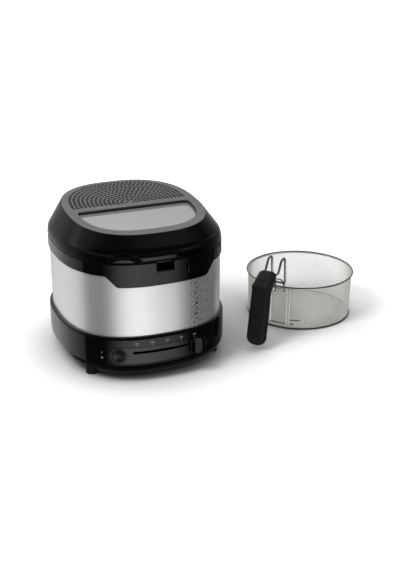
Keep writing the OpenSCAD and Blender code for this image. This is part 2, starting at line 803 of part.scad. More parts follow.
// Bar of the grip, with the cap that reaches back to the hook wires
module grip_solid() {
    grip_place() hull()
        for (x = [-1, 1], y = [-1, 1]) {
            translate([x * (grip_half_width - grip_round), y * (grip_half_thick - grip_round), 12])
                sphere(r = grip_round, $fn = 24);
            translate([x * (grip_half_width - grip_round), y * (grip_half_thick - grip_round), grip_length])
                sphere(r = grip_round, $fn = 24);
        }
    handle_place() hull()
        for (x = [-1, 1], place = [cap_back, cap_front, cap_low])
            translate([x * (grip_half_width - grip_round), -place[0], place[1]])
                sphere(r = grip_round, $fn = 24);
}

module grip_split(outer)
    grip_place() translate([-30, outer ? -60 : 0.05, -40]) cube([60, 59.95, 200]);

module grip_outer() color("#151515")
    intersection() {
        grip_solid();
        grip_split(true);
    }

module grip_inner() color("#1a1a1a")
    difference() {
        intersection() {
            grip_solid();
            grip_split(false);
        }
        handle_place() for (s = [-1, 1])
            translate([s * hook_spacing / 2, 0, 0]) wire_run(hook_foot, hook_end);
        grip_place() for (z = screw_places)
            translate([0, 0, z]) rotate([-90, 0, 0]) cylinder(r = 2.6, h = 30);
    }

module grip_screws() color("silver") grip_place()
    for (z = screw_places)
        translate([0, 1, z]) rotate([-90, 0, 0]) cylinder(r = 2.5, h = 6);

base_housing();
base_plate();
rubber_feet();
base_screws();
control_panel();
button_ring();
steel_band();
collar();
collar_skirt();
deck_plate();
bowl();
bowl_gasket();
heat_shield();
heater_plate();
heating_element();
heater_bracket();
thermostat_body();
thermostat_probe();
thermal_fuse();
terminal_block();
wiring();
switch_body();
pilot_lamp();
cord_gland();
tie_rods();
hinge_bracket();
hinge_pin();
lid_springs();
button_springs();
release_button();
latch_hook();
power_button();
button_plunger();
slider_knob();
slider_carriage();
lid_shell();
lid_top_plate();
window_frame();
viewing_window();
window_gasket();
vent_filter();
filter_tray();
inner_pan();
lid_seal();
lid_screws();
finger_grip();
latch_catch();
lid_hinge_arm();
basket_mesh();
basket_rim_wire();
basket_base_ring();
basket_side_rails();
basket_bracket();
basket_tie_wires();
handle_wires();
grip_outer();
grip_inner();
grip_screws();
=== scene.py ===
"""Deep fryer with a viewing lid and its frying basket: the looks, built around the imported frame.

Lengths are in millimetres in the making, from the middle of the fryer's plan or of the basket's, and become
metres in the frame when a mesh is built. Front is -Y.
"""
import json
import math

import bmesh
import bpy
import numpy as np
from mathutils import Matrix, Vector
from mathutils.bvhtree import BVHTree
from mathutils.geometry import delaunay_2d_cdt


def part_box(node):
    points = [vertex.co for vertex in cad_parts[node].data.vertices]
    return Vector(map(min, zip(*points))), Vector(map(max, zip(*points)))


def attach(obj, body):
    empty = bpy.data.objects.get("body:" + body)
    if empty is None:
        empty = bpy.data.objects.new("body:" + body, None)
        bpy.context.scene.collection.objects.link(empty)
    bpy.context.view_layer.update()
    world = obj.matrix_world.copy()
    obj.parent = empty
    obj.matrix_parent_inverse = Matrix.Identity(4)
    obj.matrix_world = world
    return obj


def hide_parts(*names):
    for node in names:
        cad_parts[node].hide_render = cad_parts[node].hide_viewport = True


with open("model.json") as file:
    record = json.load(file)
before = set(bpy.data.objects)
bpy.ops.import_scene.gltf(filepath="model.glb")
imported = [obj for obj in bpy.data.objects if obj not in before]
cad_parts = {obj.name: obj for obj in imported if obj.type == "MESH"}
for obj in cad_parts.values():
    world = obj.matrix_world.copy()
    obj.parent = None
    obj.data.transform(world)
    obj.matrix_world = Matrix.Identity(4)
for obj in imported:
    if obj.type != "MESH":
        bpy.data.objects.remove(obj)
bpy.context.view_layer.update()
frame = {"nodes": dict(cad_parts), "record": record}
NODES = frame["nodes"]
MM = 0.001

# ------ measures, read from the frame


def middle(node):
    low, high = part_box(node)
    return (low + high) / (2 * MM)


def span(node):
    low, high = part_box(node)
    return (high - low) / MM


HALF_X, HALF_Y = span("collar")[0] / 2, span("collar")[1] / 2
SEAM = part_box("collar")[1][2] / MM
SQUARE = 2.55
BODY_AT, BASKET_AT = (np.array([*middle(node)[:2], 0.0]) for node in ("collar", "basket_rim_wire"))
BASE_GROW, BAND_GROW = 3.0, -2.2
BASE_TOP = SEAM - 120.5
DECK = SEAM - 14.5
TILT = math.radians(4)
TOP = SEAM + 46.5
HANDLE_TURN = math.radians(50)


def pts(*axes):
    """Points from their coordinates."""
    return np.stack(axes, -1)


def join(*parts):
    return np.concatenate(parts)


def round_angles(count):
    return np.linspace(0, 2 * np.pi, count, endpoint=False)


def oval(angle, half_x, half_y, power=SQUARE):
    """Points of a superellipse at the angles, counted from +X."""
    c, s = np.abs(np.cos(angle)), np.abs(np.sin(angle))
    r = ((c / half_x) ** power + (s / half_y) ** power) ** (-1 / power)
    return r * np.cos(angle), r * np.sin(angle)


# Way round the outline, from the front middle, to the right
TURN = np.linspace(-np.pi, np.pi, 4001)
EDGE_X, EDGE_Y = oval(TURN - np.pi / 2, HALF_X, HALF_Y)
ARC = join([0], np.cumsum(np.hypot(np.diff(EDGE_X), np.diff(EDGE_Y))))
ARC -= ARC[-1] / 2
AROUND = 2 * ARC[-1]


def along(x):
    """Way round the outline at a sideways place of its front half."""
    return np.interp(x, EDGE_X[1000:3001], ARC[1000:3001])


def unit(v):
    return v / np.maximum(np.linalg.norm(v, axis=-1, keepdims=True), 1e-12)


def soften(points, cut, bends=(0, 0.25, 0.5, 0.75, 1)):
    """The open line with its corners rounded over cut to each side, or over each corner's own cut."""
    points = [np.asarray(p, float) for p in points]
    out = [points[0]]
    for a, b, c, most in zip(points, points[1:], points[2:], np.broadcast_to(cut, len(points) - 2)):
        before, after = np.linalg.norm((a - b)[:3]), np.linalg.norm((c - b)[:3])
        reach = min(most, before * 0.45, after * 0.45)
        p, q = b + (a - b) * reach / before, b + (c - b) * reach / after
        out += [(1 - t) ** 2 * p + 2 * t * (1 - t) * b + t * t * q for t in bends]
    return np.array(out + [points[-1]])


def arc(x, y, radius, start, end, steps=8):
    a = np.radians(np.linspace(start, end, steps + 1))
    return pts(x + radius * np.cos(a), y + radius * np.sin(a))


def dot(x, y, radius, sides=16):
    return arc(x, y, radius, 0, 360, sides)[:-1]


def rounded(x0, y0, x1, y1, r, steps=8):
    """Rounded rectangle, counter-clockwise."""
    corners = (x1 - r, y1 - r), (x0 + r, y1 - r), (x0 + r, y0 + r), (x1 - r, y0 + r)
    return join(*(arc(*corner, r, 90 * k, 90 * k + 90, steps) for k, corner in enumerate(corners)))


def resample(loop, step, closed=True):
    """Adds points so that no edge of the line is longer than step."""
    ends = np.roll(loop, -1, 0) if closed else loop[1:]
    out = []
    for a, b in zip(loop, ends):
        n = max(1, int(np.ceil(np.linalg.norm(b - a) / step)))
        out += [a + (b - a) * k / n for k in range(n)]
    if not closed:
        out.append(loop[-1])
    return np.array(out)


# ------ surfaces that sheets are laid on


class Wrap:
    """A surface over (s, v): frame() gives its points, both unit tangents and the outward normal."""
    step = 0.2

    def frame(self, plane):
        s, v, h = plane[:, 0], plane[:, 1], self.step
        along_s = unit(self.point(s + h, v) - self.point(s - h, v))
        along_v = unit(self.point(s, v + h) - self.point(s, v - h))
        return self.point(s, v), along_s, along_v, unit(np.cross(along_s, along_v))


class Wall(Wrap):
    """Skin through rings of [growth in x, growth in y, height, slope], around the fryer's axis."""

    def __init__(self, rings, swell=None):
        self.rings = np.array([r if len(r) == 4 else (r[0], r[0], r[1], 0) for r in rings], float)
        step = np.hypot(np.diff(self.rings[:, :2].mean(1)), np.diff(self.rings[:, 2]))
        self.v = join([0], np.cumsum(step))
        self.swell = swell

    def point(self, s, v):
        s = np.mod(s + AROUND / 2, AROUND) - AROUND / 2
        turn = np.interp(s, ARC, TURN) - np.pi / 2
        gx, gy, z, slope = (np.interp(v, self.v, self.rings[:, k]) for k in range(4))
        if self.swell:
            more = self.swell(s, z)
            gx, gy = gx + more, gy + more
        x, y = oval(turn, HALF_X + gx, HALF_Y + gy)
        return pts(x, y, z + slope * y)

    def at(self, z):
        """Way along the rising part of the profile at a height."""
        rise = np.argmax(self.rings[:, 2]) + 1
        low = np.argmin(self.rings[:rise, 2])
        return np.interp(z, self.rings[low:rise, 2], self.v[low:rise])

    def plane(self, xz):
        xz = np.asarray(xz, float)
        return pts(along(xz[:, 0]), self.at(xz[:, 1]))


class Flat(Wrap):
    """Plane with an optional relief(s, v) above it."""

    def __init__(self, origin, x, y, relief=None):
        self.o, self.x, self.y = (np.array(a, float) for a in (origin, x, y))
        self.n = np.cross(self.x, self.y)
        self.relief = relief

    def point(self, s, v):
        p = self.o + s[:, None] * self.x + v[:, None] * self.y
        return p + self.relief(s, v)[:, None] * self.n if self.relief else p


# ------ mesh making


def add_object(name, data):
    obj = bpy.data.objects.new(name, data)
    bpy.context.scene.collection.objects.link(obj)
    return obj


def strip(rows, count, closed=False, flip=False):
    """Quads between rows of count points, with each row joined round."""
    i, j = np.meshgrid(np.arange(rows if closed else rows - 1), np.arange(count), indexing="ij")
    k, m = (j + 1) % count, (i + 1) % rows
    quads = pts(i * count + j, i * count + k, m * count + k, m * count + j).reshape(-1, 4)
    return np.roll(quads[:, ::-1], 1, 1) if flip else quads


def revolve(line, angles):
    """Points of (radius, height) turned to each angle about Z."""
    return pts(line[:, :1] * np.cos(angles), line[:, :1] * np.sin(angles),
               np.repeat(line[:, 1:], len(angles), 1))


def obj_from(name, verts, faces, normals=None, uv=None, at=(0, 0, 0)):
    """Mesh from points in mm and face index arrays. Equal points are welded, and each corner keeps its normal."""
    key, back = np.unique(np.round(np.asarray(verts, float), 5), axis=0, return_inverse=True)
    back = back.reshape(-1)
    groups = []
    for group in (np.asarray(g) for g in faces if len(g)):
        good = (back[group] != back[np.roll(group, -1, 1)]).all(1)
        if group.shape[1] == 4:
            thin = [[v for k, v in enumerate(f) if back[v] != back[f[k - 1]]] for f in group[~good]]
            groups.append(np.array([f for f in thin if len(f) == 3], int).reshape(-1, 3))
        groups.append(group[good])
    loops = join(*(group.reshape(-1) for group in groups))
    sizes = join(*(np.full(len(group), group.shape[1]) for group in groups))
    starts = np.cumsum(sizes) - sizes
    mesh = bpy.data.meshes.new(name)
    mesh.vertices.add(len(key))
    mesh.vertices.foreach_set("co", ((key + np.asarray(at)) * MM).astype(np.float32).reshape(-1))
    mesh.loops.add(len(loops))
    mesh.loops.foreach_set("vertex_index", back[loops].astype(np.int32))
    mesh.polygons.add(len(starts))
    mesh.polygons.foreach_set("loop_start", starts.astype(np.int32))
    mesh.polygons.foreach_set("use_smooth", np.ones(len(starts), bool))
    mesh.update(calc_edges=True)
    if uv is not None:
        layer = mesh.uv_layers.new(name="UVMap")
        layer.data.foreach_set("uv", (np.asarray(uv)[loops] * MM).astype(np.float32).reshape(-1))
    if normals is not None:
        mesh.normals_split_custom_set(unit(np.asarray(normals, float))[loops].tolist())
    return add_object(name, mesh)


def inside(points, loop):
    """Which points lie in the polygon."""
    x, y = points[:, 0], points[:, 1]
    hit = np.zeros(len(points), bool)
    for (x0, y0), (x1, y1) in zip(loop, np.roll(loop, -1, 0)):
        if y0 != y1:
            hit ^= ((y0 > y) != (y1 > y)) & (x < (x1 - x0) * (y - y0) / (y1 - y0) + x0)
    return hit


def near(points, loop, reach):
    """Which points lie within reach of the closed line."""
    hit = np.zeros(len(points), bool)
    for a, b in zip(loop, np.roll(loop, -1, 0)):
        d = b - a
        t = np.clip(((points - a) @ d) / max(d @ d, 1e-12), 0, 1)
        hit |= np.hypot(*(points - a - t[:, None] * d).T) < reach
    return hit


class Sheet:
    """Sheet of material laid on a wrap, with rolled edges, holes and its own thickness."""

    def __init__(self, wrap):
        self.wrap, self.count = wrap, 0
        self.verts, self.normals, self.uv, self.faces = [], [], [], []

    def add(self, plane, depth=0.0, out=None, tilt=0.0):
        point, along_s, along_v, normal = self.wrap.frame(plane)
        self.verts.append(point - normal * depth)
        if out is None:
            self.normals.append(normal * math.cos(tilt))
        else:
            away = out[:, :1] * along_s + out[:, 1:] * along_v
            self.normals.append(math.cos(tilt) * normal + math.sin(tilt) * away)
        self.uv.append(plane)
        self.count += len(plane)
        return np.arange(self.count - len(plane), self.count)

    def rim(self, line, radius, thick, closed=True):
        """Rolled edge along a line that has the material on its left. Returns the line at the roll's start."""
        if closed:
            d = unit(line - np.roll(line, 1, 0)) + unit(np.roll(line, -1, 0) - line)
        else:
            e = unit(np.diff(line, axis=0))
            d = join(e[:1], e[:-1] + e[1:], e[-1:])
        d = unit(d)
        out = pts(d[:, 1], -d[:, 0])
        rows = []
        for t in np.arange(4) / 3 * math.pi / 2:
            rows.append(self.add(line - out * radius * (1 - math.sin(t)), radius * (1 - math.cos(t)), out, t))
        rows.append(self.add(line, thick, out, math.pi / 2))
        for a, b in zip(rows, rows[1:]):
            i = np.arange(len(line) if closed else len(line) - 1)
            j = (i + 1) % len(line)
            self.faces.append(pts(a[i], b[i], b[j], a[j]))
        return line - out * radius

    def fill(self, outline, holes=(), grid=None, depth=0.0, flip=False):
        """Triangles between the outline and the holes."""
        loops = [outline] + list(holes)
        points = join(*loops)
        owner = join(*(np.full(len(l), i) for i, l in enumerate(loops)))
        edges, start = [], 0
        for l in loops:
            edges += [(start + i, start + (i + 1) % len(l)) for i in range(len(l))]
            start += len(l)
        if grid is not None and len(grid):
            keep = inside(grid, outline) & ~near(grid, outline, 0.45)
            for hole in holes:
                low, high = hole.min(0) - 2, hole.max(0) + 2
                close = np.all((grid > low) & (grid < high), 1) & keep
                index = np.flatnonzero(close)
                keep[index] = ~(inside(grid[index], hole) | near(grid[index], hole, 0.45))
            points = join(points, grid[keep])
            owner = join(owner, np.full(keep.sum(), -1))
        found = delaunay_2d_cdt([Vector(p) for p in points], edges, [], 0, 1e-6)
        source = np.array([o[0] if o else -1 for o in found[3]])
        plane = np.array([points[o] if o >= 0 else tuple(v) for v, o in zip(found[0], source)])
        tri = np.array([f for f in found[2] if len(f) == 3])
        a, b, c = (plane[tri[:, i]] for i in range(3))
        turned = (b[:, 0] - a[:, 0]) * (c[:, 1] - a[:, 1]) - (b[:, 1] - a[:, 1]) * (c[:, 0] - a[:, 0])
        tri[turned < 0] = tri[turned < 0][:, ::-1]
        whose = np.where(source >= 0, owner[source], -1)[tri]
        in_hole = (whose[:, 0] > 0) & (whose == whose[:, :1]).all(1)
        tri = tri[~in_hole & (np.abs(turned) > 1e-9)]
        tri = tri[inside(plane[tri].mean(1), outline)]
        index = self.add(plane, depth, tilt=math.pi if flip else 0.0)
        self.faces.append(index[tri[:, ::-1] if flip else tri])

    def build(self, name, at=BODY_AT):
        return obj_from(name, join(*self.verts), self.faces, join(*self.normals), join(*self.uv), at)


def plate(name, wrap, outline, holes=(), thick=1.0, radius=0.3, hole_radius=None, step=None, at=BODY_AT):
    """Sheet inside a counter-clockwise outline. step is the spacing of a filling grid on a curved wrap."""
    sheet = Sheet(wrap)
    front = sheet.rim(outline, radius, thick)
    ways = [hole[::-1] for hole in holes]
    insets = [sheet.rim(way, radius if hole_radius is None else hole_radius, thick) for way in ways]
    grid = None
    if step:
        low, high = outline.min(0), outline.max(0)
        s = np.arange(low[0] + step[0] / 2, high[0], step[0])
        v = np.arange(low[1] + step[1] / 2, high[1], step[1])
        grid = np.stack(np.meshgrid(s, v), -1).reshape(-1, 2)
    sheet.fill(front, insets, grid)
    sheet.fill(outline, ways, grid, thick, flip=True)
    return sheet.build(name, at)


def ring_sheet(name, wall, low=None, cuts_low=(), cuts_high=(), holes=(), thick=1.0, radius=0.4, back=True,
               back_high=None, columns=288):
    """Sheet that goes right round the wall. A cut is an open line that its lower or upper edge follows instead."""
    low = wall.v[0] if low is None else low
    high = wall.v[-1]
    s = np.linspace(-AROUND / 2, AROUND / 2, columns + 1)

    def edge(v, cuts):
        line = pts(s, np.full(len(s), float(v)))
        for cut in cuts:
            line = join(line[line[:, 0] < cut[0, 0] - 0.3], cut, line[line[:, 0] > cut[-1, 0] + 0.3])
        return line

    levels = []
    for a, b in zip(wall.v, wall.v[1:]):
        n = max(1, int(np.ceil((b - a) / 5)))
        levels += [a + (b - a) * k / n for k in range(n)]
    levels = np.array([v for v in levels if low + 0.6 < v < high - 0.6])
    levels = levels[join([True], np.diff(levels) > 0.12)]
    bottom, top = edge(low, cuts_low), edge(high, cuts_high)
    sheet = Sheet(wall)
    bottom_in = sheet.rim(bottom, radius, thick, closed=False)
    top_in = sheet.rim(top[::-1], radius, thick, closed=False)[::-1]
    ways = [hole[::-1] for hole in holes]
    insets = [sheet.rim(way, radius, thick) for way in ways]
    grid = np.stack(np.meshgrid(s[1:-1], levels), -1).reshape(-1, 2)

    def outline(lower, upper):
        side = levels[(levels > lower[0, 1] + 0.3) & (levels < upper[0, 1] - 0.3)]
        right = pts(np.full(len(side), AROUND / 2), side)
        left = pts(np.full(len(side), -AROUND / 2), side[::-1])
        return join(lower, right, upper[::-1], left)

    sheet.fill(outline(bottom_in, top_in), insets, grid)
    if back:
        end = top if back_high is None else edge(back_high, ())
        sheet.fill(outline(bottom, end), [w for w in ways if back_high is None or w[:, 1].max() < back_high],
                   grid, thick, flip=True)
    return sheet.build(name)


def line_normals(line):
    """Outward normals of a profile, weighted to its longer pieces."""
    d = np.diff(line, axis=0)
    n = pts(d[:, 1], -d[:, 0])
    return unit(join(n[:1], n[:-1] + n[1:], n[-1:]))


def lathe(name, profile, matrix=Matrix.Identity(4), at=BODY_AT, count=64, cut=0.3):
    """Profile of (radius, height) turned about Z, then placed. It runs upward on the outside."""
    line = soften(profile, cut)
    a = round_angles(count)
    verts, normals = (revolve(v, a).reshape(-1, 3) @ np.array(matrix)[:3, :3].T for v in (line, line_normals(line)))
    uv = pts(np.repeat(a[None] * 10, len(line), 0), np.repeat(line.sum(1)[:, None], count, 1))
    return obj_from(name, verts + np.array(matrix)[:3, 3], [strip(len(line), count)], normals, uv.reshape(-1, 2), at)


BEND_STEP = 0.6


def fillet(points, radii):
    """Open path with round bends of the radii at its corners."""
    points = [np.asarray(p, float) for p in points]
    out = [points[0]]
    for a, b, c, r in zip(points, points[1:], points[2:], radii):
        u, w = unit(a - b), unit(c - b)
        half = math.acos(np.clip(u @ w, -1, 1)) / 2
        reach = r / math.tan(half)
        centre = b + unit(u + w) * r / math.sin(half)
        p, q = b + u * reach - centre, b + w * reach - centre
        angle = math.pi - 2 * half
        n = max(4, int(r * angle / BEND_STEP))
        for t in np.arange(n + 1) / n:
            out.append(centre + (math.sin((1 - t) * angle) * p + math.sin(t * angle) * q) / math.sin(angle))
    return np.array(out + [points[-1]])


def tubes(name, paths, radius, sides=12, closed=False, caps=True):
    """Round wires of the basket along the paths, as one mesh."""
    verts, normals, uv, faces, fans, count = [], [], [], [], [], 0
    ring = round_angles(sides)
    j = np.arange(sides)
    fan = pts(np.zeros(sides, int), 1 + j, 1 + (j + 1) % sides)
    for path in paths:
        n = len(path)
        if closed:
            d = unit(np.roll(path, -1, 0) - np.roll(path, 1, 0))
            side = unit(np.cross([0.0, 0.0, 1.0], d))
        else:
            d = unit(np.gradient(path, axis=0))
            side = np.empty_like(path)
            side[0] = unit(np.cross([0.0, 0.0, 1.0] if abs(d[0, 2]) < 0.9 else [1.0, 0.0, 0.0], d[0]))
            for i in range(1, n):
                side[i] = unit(side[i - 1] - d[i] * (side[i - 1] @ d[i]))
        up = np.cross(d, side)
        spin = side[:, None] * np.cos(ring)[None, :, None] + up[:, None] * np.sin(ring)[None, :, None]
        verts.append((path[:, None] + spin * radius).reshape(-1, 3))
        normals.append(spin.reshape(-1, 3))
        way = join([0], np.cumsum(np.linalg.norm(np.diff(path, axis=0), axis=1)))
        uv.append(np.stack(np.meshgrid(way, ring * radius, indexing="ij"), -1).reshape(-1, 2))
        faces.append(count + strip(n, sides, closed))
        count += n * sides
        for end, out in ((0, -1), (n - 1, 1)) if caps and not closed else ():
            tip = path[end] + d[end] * out * radius * 0.35
            verts += [tip[None], path[end] + spin[end] * radius]
            normals += [d[end:end + 1] * out, spin[end] * 0.5 + d[end] * out]
            uv.append(np.zeros((sides + 1, 2)))
            fans.append(count + (fan if out > 0 else fan[:, ::-1]))
            count += sides + 1
    groups = [join(*group) for group in (faces, fans) if group]
    return obj_from(name, join(*verts), groups, join(*normals), join(*uv), BASKET_AT)


# ------ materials

MATS = {}


def new_material(name):
    MATS[name] = bpy.data.materials.new(name)
    MATS[name].use_nodes = True
    tree = MATS[name].node_tree
    return tree, tree.nodes["Principled BSDF"]


def set_inputs(tree, node, values):
    """Sets the node's sockets, or links them where the value is another node's output."""
    for key, value in values.items():
        if isinstance(value, bpy.types.NodeSocket):
            tree.links.new(value, node.inputs[key])
        else:
            node.inputs[key].default_value = value


def add_node(tree, kind, *values, **settings):
    """New node. The values go into its sockets in their order, and the settings by their names."""
    node = tree.nodes.new(kind)
    for key in [key for key in settings if hasattr(node, key)]:
        setattr(node, key, settings.pop(key))
    set_inputs(tree, node, {**dict(enumerate(values)), **settings})
    return node


def map_range(tree, *source_start_end_low_high, **settings):
    return add_node(tree, "ShaderNodeMapRange", *source_start_end_low_high, **settings).outputs["Result"]


def math_node(tree, operation, *values):
    return add_node(tree, "ShaderNodeMath", *values, operation=operation).outputs[0]


def mix_colours(tree, factor, low, high):
    node = add_node(tree, "ShaderNodeMix", factor, data_type="RGBA")
    set_inputs(tree, node, {6: low, 7: high})
    return node.outputs[2]


def surface(name, colour, rough, metallic=0.0, vary=0.15, rough_vary=0.06, grain=900.0, bump=0.15, depth=0.00005,
            broad=18.0, stretch=(1, 1, 1), coords="Object", ior=1.5, specular=0.5):
    """A moulded, cast or drawn surface: broad colour and roughness drift, fine grain in its bump."""
    tree, shader = new_material(name)
    place = add_node(tree, "ShaderNodeTexCoord").outputs[coords]
    fit = add_node(tree, "ShaderNodeMapping", place, Scale=stretch).outputs[0]
    drift, fine = (add_node(tree, "ShaderNodeTexNoise", fit, Scale=scale, Detail=detail).outputs["Fac"]
                   for scale, detail in ((broad, 3.0), (grain, 2.0)))
    dark, light = ((*[min(1, c * share) for c in colour], 1) for share in (1 - vary, 1 + vary))
    both = math_node(tree, "MULTIPLY_ADD", fine, 0.5, drift)
    set_inputs(tree, shader, {
        "Base Color": mix_colours(tree, map_range(tree, drift, 0.3, 0.7), dark, light),
        "Roughness": map_range(tree, both, 0.5, 1.0, rough - rough_vary, rough + rough_vary),
        "Normal": add_node(tree, "ShaderNodeBump", Strength=bump, Distance=depth, Height=fine).outputs[0],
        "Metallic": metallic, "IOR": ior, "Specular IOR Level": specular})
    return tree, shader


surface("black_gloss", (0.0008, 0.0008, 0.0009), 0.065, rough_vary=0.015, grain=260, bump=0.02, depth=0.00002,
        broad=14, specular=0.32)
surface("black_matte", (0.009, 0.009, 0.0095), 0.55, grain=1500, bump=0.5, depth=0.00006, specular=0.3)
surface("grey_satin", (0.098, 0.099, 0.1), 0.43, metallic=0.55, grain=2200, bump=0.25, depth=0.00002, vary=0.05)
surface("steel_wire", (0.42, 0.415, 0.4), 0.27, metallic=1.0, grain=700, bump=0.1)
surface("wire_mesh", (0.86, 0.85, 0.81), 0.34, metallic=0.5, grain=1800, bump=0.1, vary=0.08)
surface("aluminium_dark", (0.03, 0.03, 0.031), 0.36, metallic=0.3, grain=1100, bump=0.3)
surface("aluminium", (0.56, 0.56, 0.57), 0.34, metallic=1.0, grain=1300, bump=0.2)
surface("element", (0.09, 0.085, 0.08), 0.5, metallic=0.8, bump=0.3)
surface("zinc", (0.55, 0.56, 0.57), 0.3, metallic=1.0)
surface("rubber_black", (0.007, 0.007, 0.007), 0.72, specular=0.25, bump=0.6, depth=0.0001)
surface("silicone_grey", (0.16, 0.16, 0.16), 0.5, grain=500, bump=0.2)
surface("silicone_red", (0.25, 0.045, 0.03), 0.5, grain=500, bump=0.2)
surface("lamp_red", (0.5, 0.02, 0.015), 0.15, grain=300, bump=0.05)
surface("ceramic", (0.72, 0.7, 0.65), 0.45, vary=0.04)
surface("copper", (0.72, 0.33, 0.19), 0.3, metallic=1.0, grain=700, bump=0.1)
surface("lead_insulation", (0.5, 0.5, 0.48), 0.45, grain=700, bump=0.2)
# The filter seen through the vents is kept near black so the holes read dark: painted shade
surface("filter_metal", (0.02, 0.02, 0.02), 0.5, metallic=0.6, grain=260, bump=1.0, depth=0.0006)
# Second looks of a slot: lit and shaded copies of the wire, a lighter one with painted highlight and a darker one with
# painted shade
surface("wire_painted_highlight", (0.8, 0.795, 0.78), 0.3, metallic=0.8, grain=700, bump=0.1)
surface("wire_painted_shade", (0.12, 0.118, 0.115), 0.3, metallic=0.9, grain=700, bump=0.1)
surface("panel_satin", (0.004, 0.004, 0.0043), 0.24, grain=1200, vary=0.1)
surface("bezel_dark", (0.02, 0.02, 0.021), 0.3, bump=0.1)
surface("knob_satin", (0.03, 0.03, 0.031), 0.36, grain=1400, bump=0.2)
surface("print_dark", (0.035, 0.035, 0.036), 0.5, bump=0.05)
surface("print_light", (0.36, 0.36, 0.355), 0.5, bump=0.05)
# Steel brushed along s: long fine scratches in its colour, roughness and bump
steel, shader = surface("steel_brushed", (0.86, 0.86, 0.85), 0.34, 0.84, vary=0.03, rough_vary=0.03, grain=1.0,
                        bump=0.07, depth=0.00002, broad=0.2, stretch=(110, 3000, 1), coords="UV")
tangent = add_node(steel, "ShaderNodeTangent", direction_type="UV_MAP", uv_map="UVMap").outputs[0]
set_inputs(steel, shader, {"Anisotropic": 0.2, "Anisotropic Rotation": 0.25, "Tangent": tangent})
glass, shader = surface("window_glass", (0.3, 0.305, 0.305), 0.1, rough_vary=0.01, vary=0.01, grain=60, bump=0.0,
                        broad=9, ior=1.75)
set_inputs(glass, shader, {"Transmission Weight": 0.5})


def piece(obj, body, slot, *nodes, look=None):
    """Puts a piece on its body, with its slot's material or another look, in place of the CAD nodes."""
    obj.data.materials.append(MATS[look or slot])
    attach(obj, body)
    if nodes:
        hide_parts(*nodes)
    return obj


# ------ base housing and its controls

BASE_RINGS = [(-13.3, 13), (-13.3, 10), (-11, 10), (-5.5, 15), (-0.8, 20.5), (2, 25.5), (BASE_GROW, 30.5),
              (BASE_GROW, BASE_TOP - 3.2), (2.3, BASE_TOP - 1.2), (0.6, BASE_TOP), (-1.9, BASE_TOP),
              (-1.9, BASE_TOP - 3)]
base_wall = Wall(soften(BASE_RINGS, 1.6))
PANEL_BOX = (-90, 33, 72, 61)
BUTTON_X, BUTTON_Z, BUTTON_R = -75, 47.5, 10
SLOT = (-54, 50, 56, 54)


def grown(box, by, radius):
    x0, z0, x1, z1 = box
    return rounded(x0 - by, z0 - by, x1 + by, z1 + by, radius + by, 12)


capsule = resample(base_wall.plane(grown(PANEL_BOX, 0.3, 13.9)), 4)
piece(ring_sheet("base_housing_skin", base_wall, holes=[capsule], thick=1.4, radius=0.35), "body", "black_gloss",
      "base_housing")

panel_wall = Wall([(BASE_GROW - 0.4, 20), (BASE_GROW - 0.4, 70)])
button_hole = panel_wall.plane([(BUTTON_X, BUTTON_Z)]) + dot(0, 0, BUTTON_R + 2.6, 48)
panel_outline = resample(panel_wall.plane(grown(PANEL_BOX, -0.05, 13.9)), 4)
panel_slot = resample(panel_wall.plane(grown(SLOT, 0, 1.9)), 3)
piece(plate("control_panel_skin", panel_wall, panel_outline, [panel_slot, button_hole],
            thick=1.0, radius=0.3, step=(3, 5)), "body", "black_gloss", "control_panel", look="panel_satin")

# Frame on the front wall at the button: X along the wall, Y up, Z outward
front_wall = Wall([(BASE_GROW, 0), (BASE_GROW, 300)])
point, side, up, outward = (a[0] for a in front_wall.frame(np.array([[along(BUTTON_X), BUTTON_Z]])))
button_at = Matrix([*pts(side, up, outward, point).tolist(), (0, 0, 0, 1)])
piece(lathe("button_ring_bezel", [(10.4, -3.9), (12.5, -3.9), (12.5, 0.5), (12.1, 0.8), (11.2, 0.8), (10.45, 0.1),
                                  (10.45, -3.8)], button_at, cut=0.25), "body", "grey_satin", "button_ring",
      look="bezel_dark")
piece(lathe("power_button_cap", [(0, -2.2), (9.9, -2.2), (10, 0.6), (9.3, 1.5), (8.3, 1.45), (4, 1.0), (0, 0.85)],
            button_at, cut=0.6), "power_switch", "black_gloss", "power_button")

# Ribbed slider knob, square to its place on the slot's arc
SLIDER_ARC, SLIDER_X, SLIDER_Z = 274, 50, 49
KNOB_X, KNOB_Z, KNOB_REACH = 6.8, 12.5, 11
turn = math.asin(SLIDER_X / SLIDER_ARC)
knob_out = np.array([math.sin(turn), -math.cos(turn), 0])
knob_at = knob_out * (SLIDER_ARC + KNOB_REACH) + np.array([0, SLIDER_ARC - HALF_Y - BASE_GROW, SLIDER_Z])


def knob_relief(s, v):
    """Ridges along the front of the knob, faded out at its ends, on a slightly hollow face."""
    fade = np.clip((KNOB_Z - 1 - np.abs(v)) / 2, 0, 1) * np.clip((KNOB_X - 0.4 - np.abs(s)) / 0.5, 0, 1)
    sag = 1.0 + 0.9 * (np.abs(v) / KNOB_Z) ** 3 + 1.2 * (np.abs(s) / KNOB_X) ** 3
    return 0.9 * fade * np.cos(2 * np.pi * s / 3.2) - sag


knob_front = Flat(knob_at, (math.cos(turn), math.sin(turn), 0), (0, 0, 1), knob_relief)
piece(plate("slider_knob_ribbed", knob_front, resample(rounded(-KNOB_X, -KNOB_Z, KNOB_X, KNOB_Z, 4.6), 1.2),
            thick=8.2, radius=1.0, step=(0.32, 1.2)), "thermostat_slider", "black_matte", "slider_knob",
      look="knob_satin")

# ------ steel band, collar and release button

RELEASE_X, RELEASE = 61, (-25, SEAM - 32, 21, SEAM - 6)


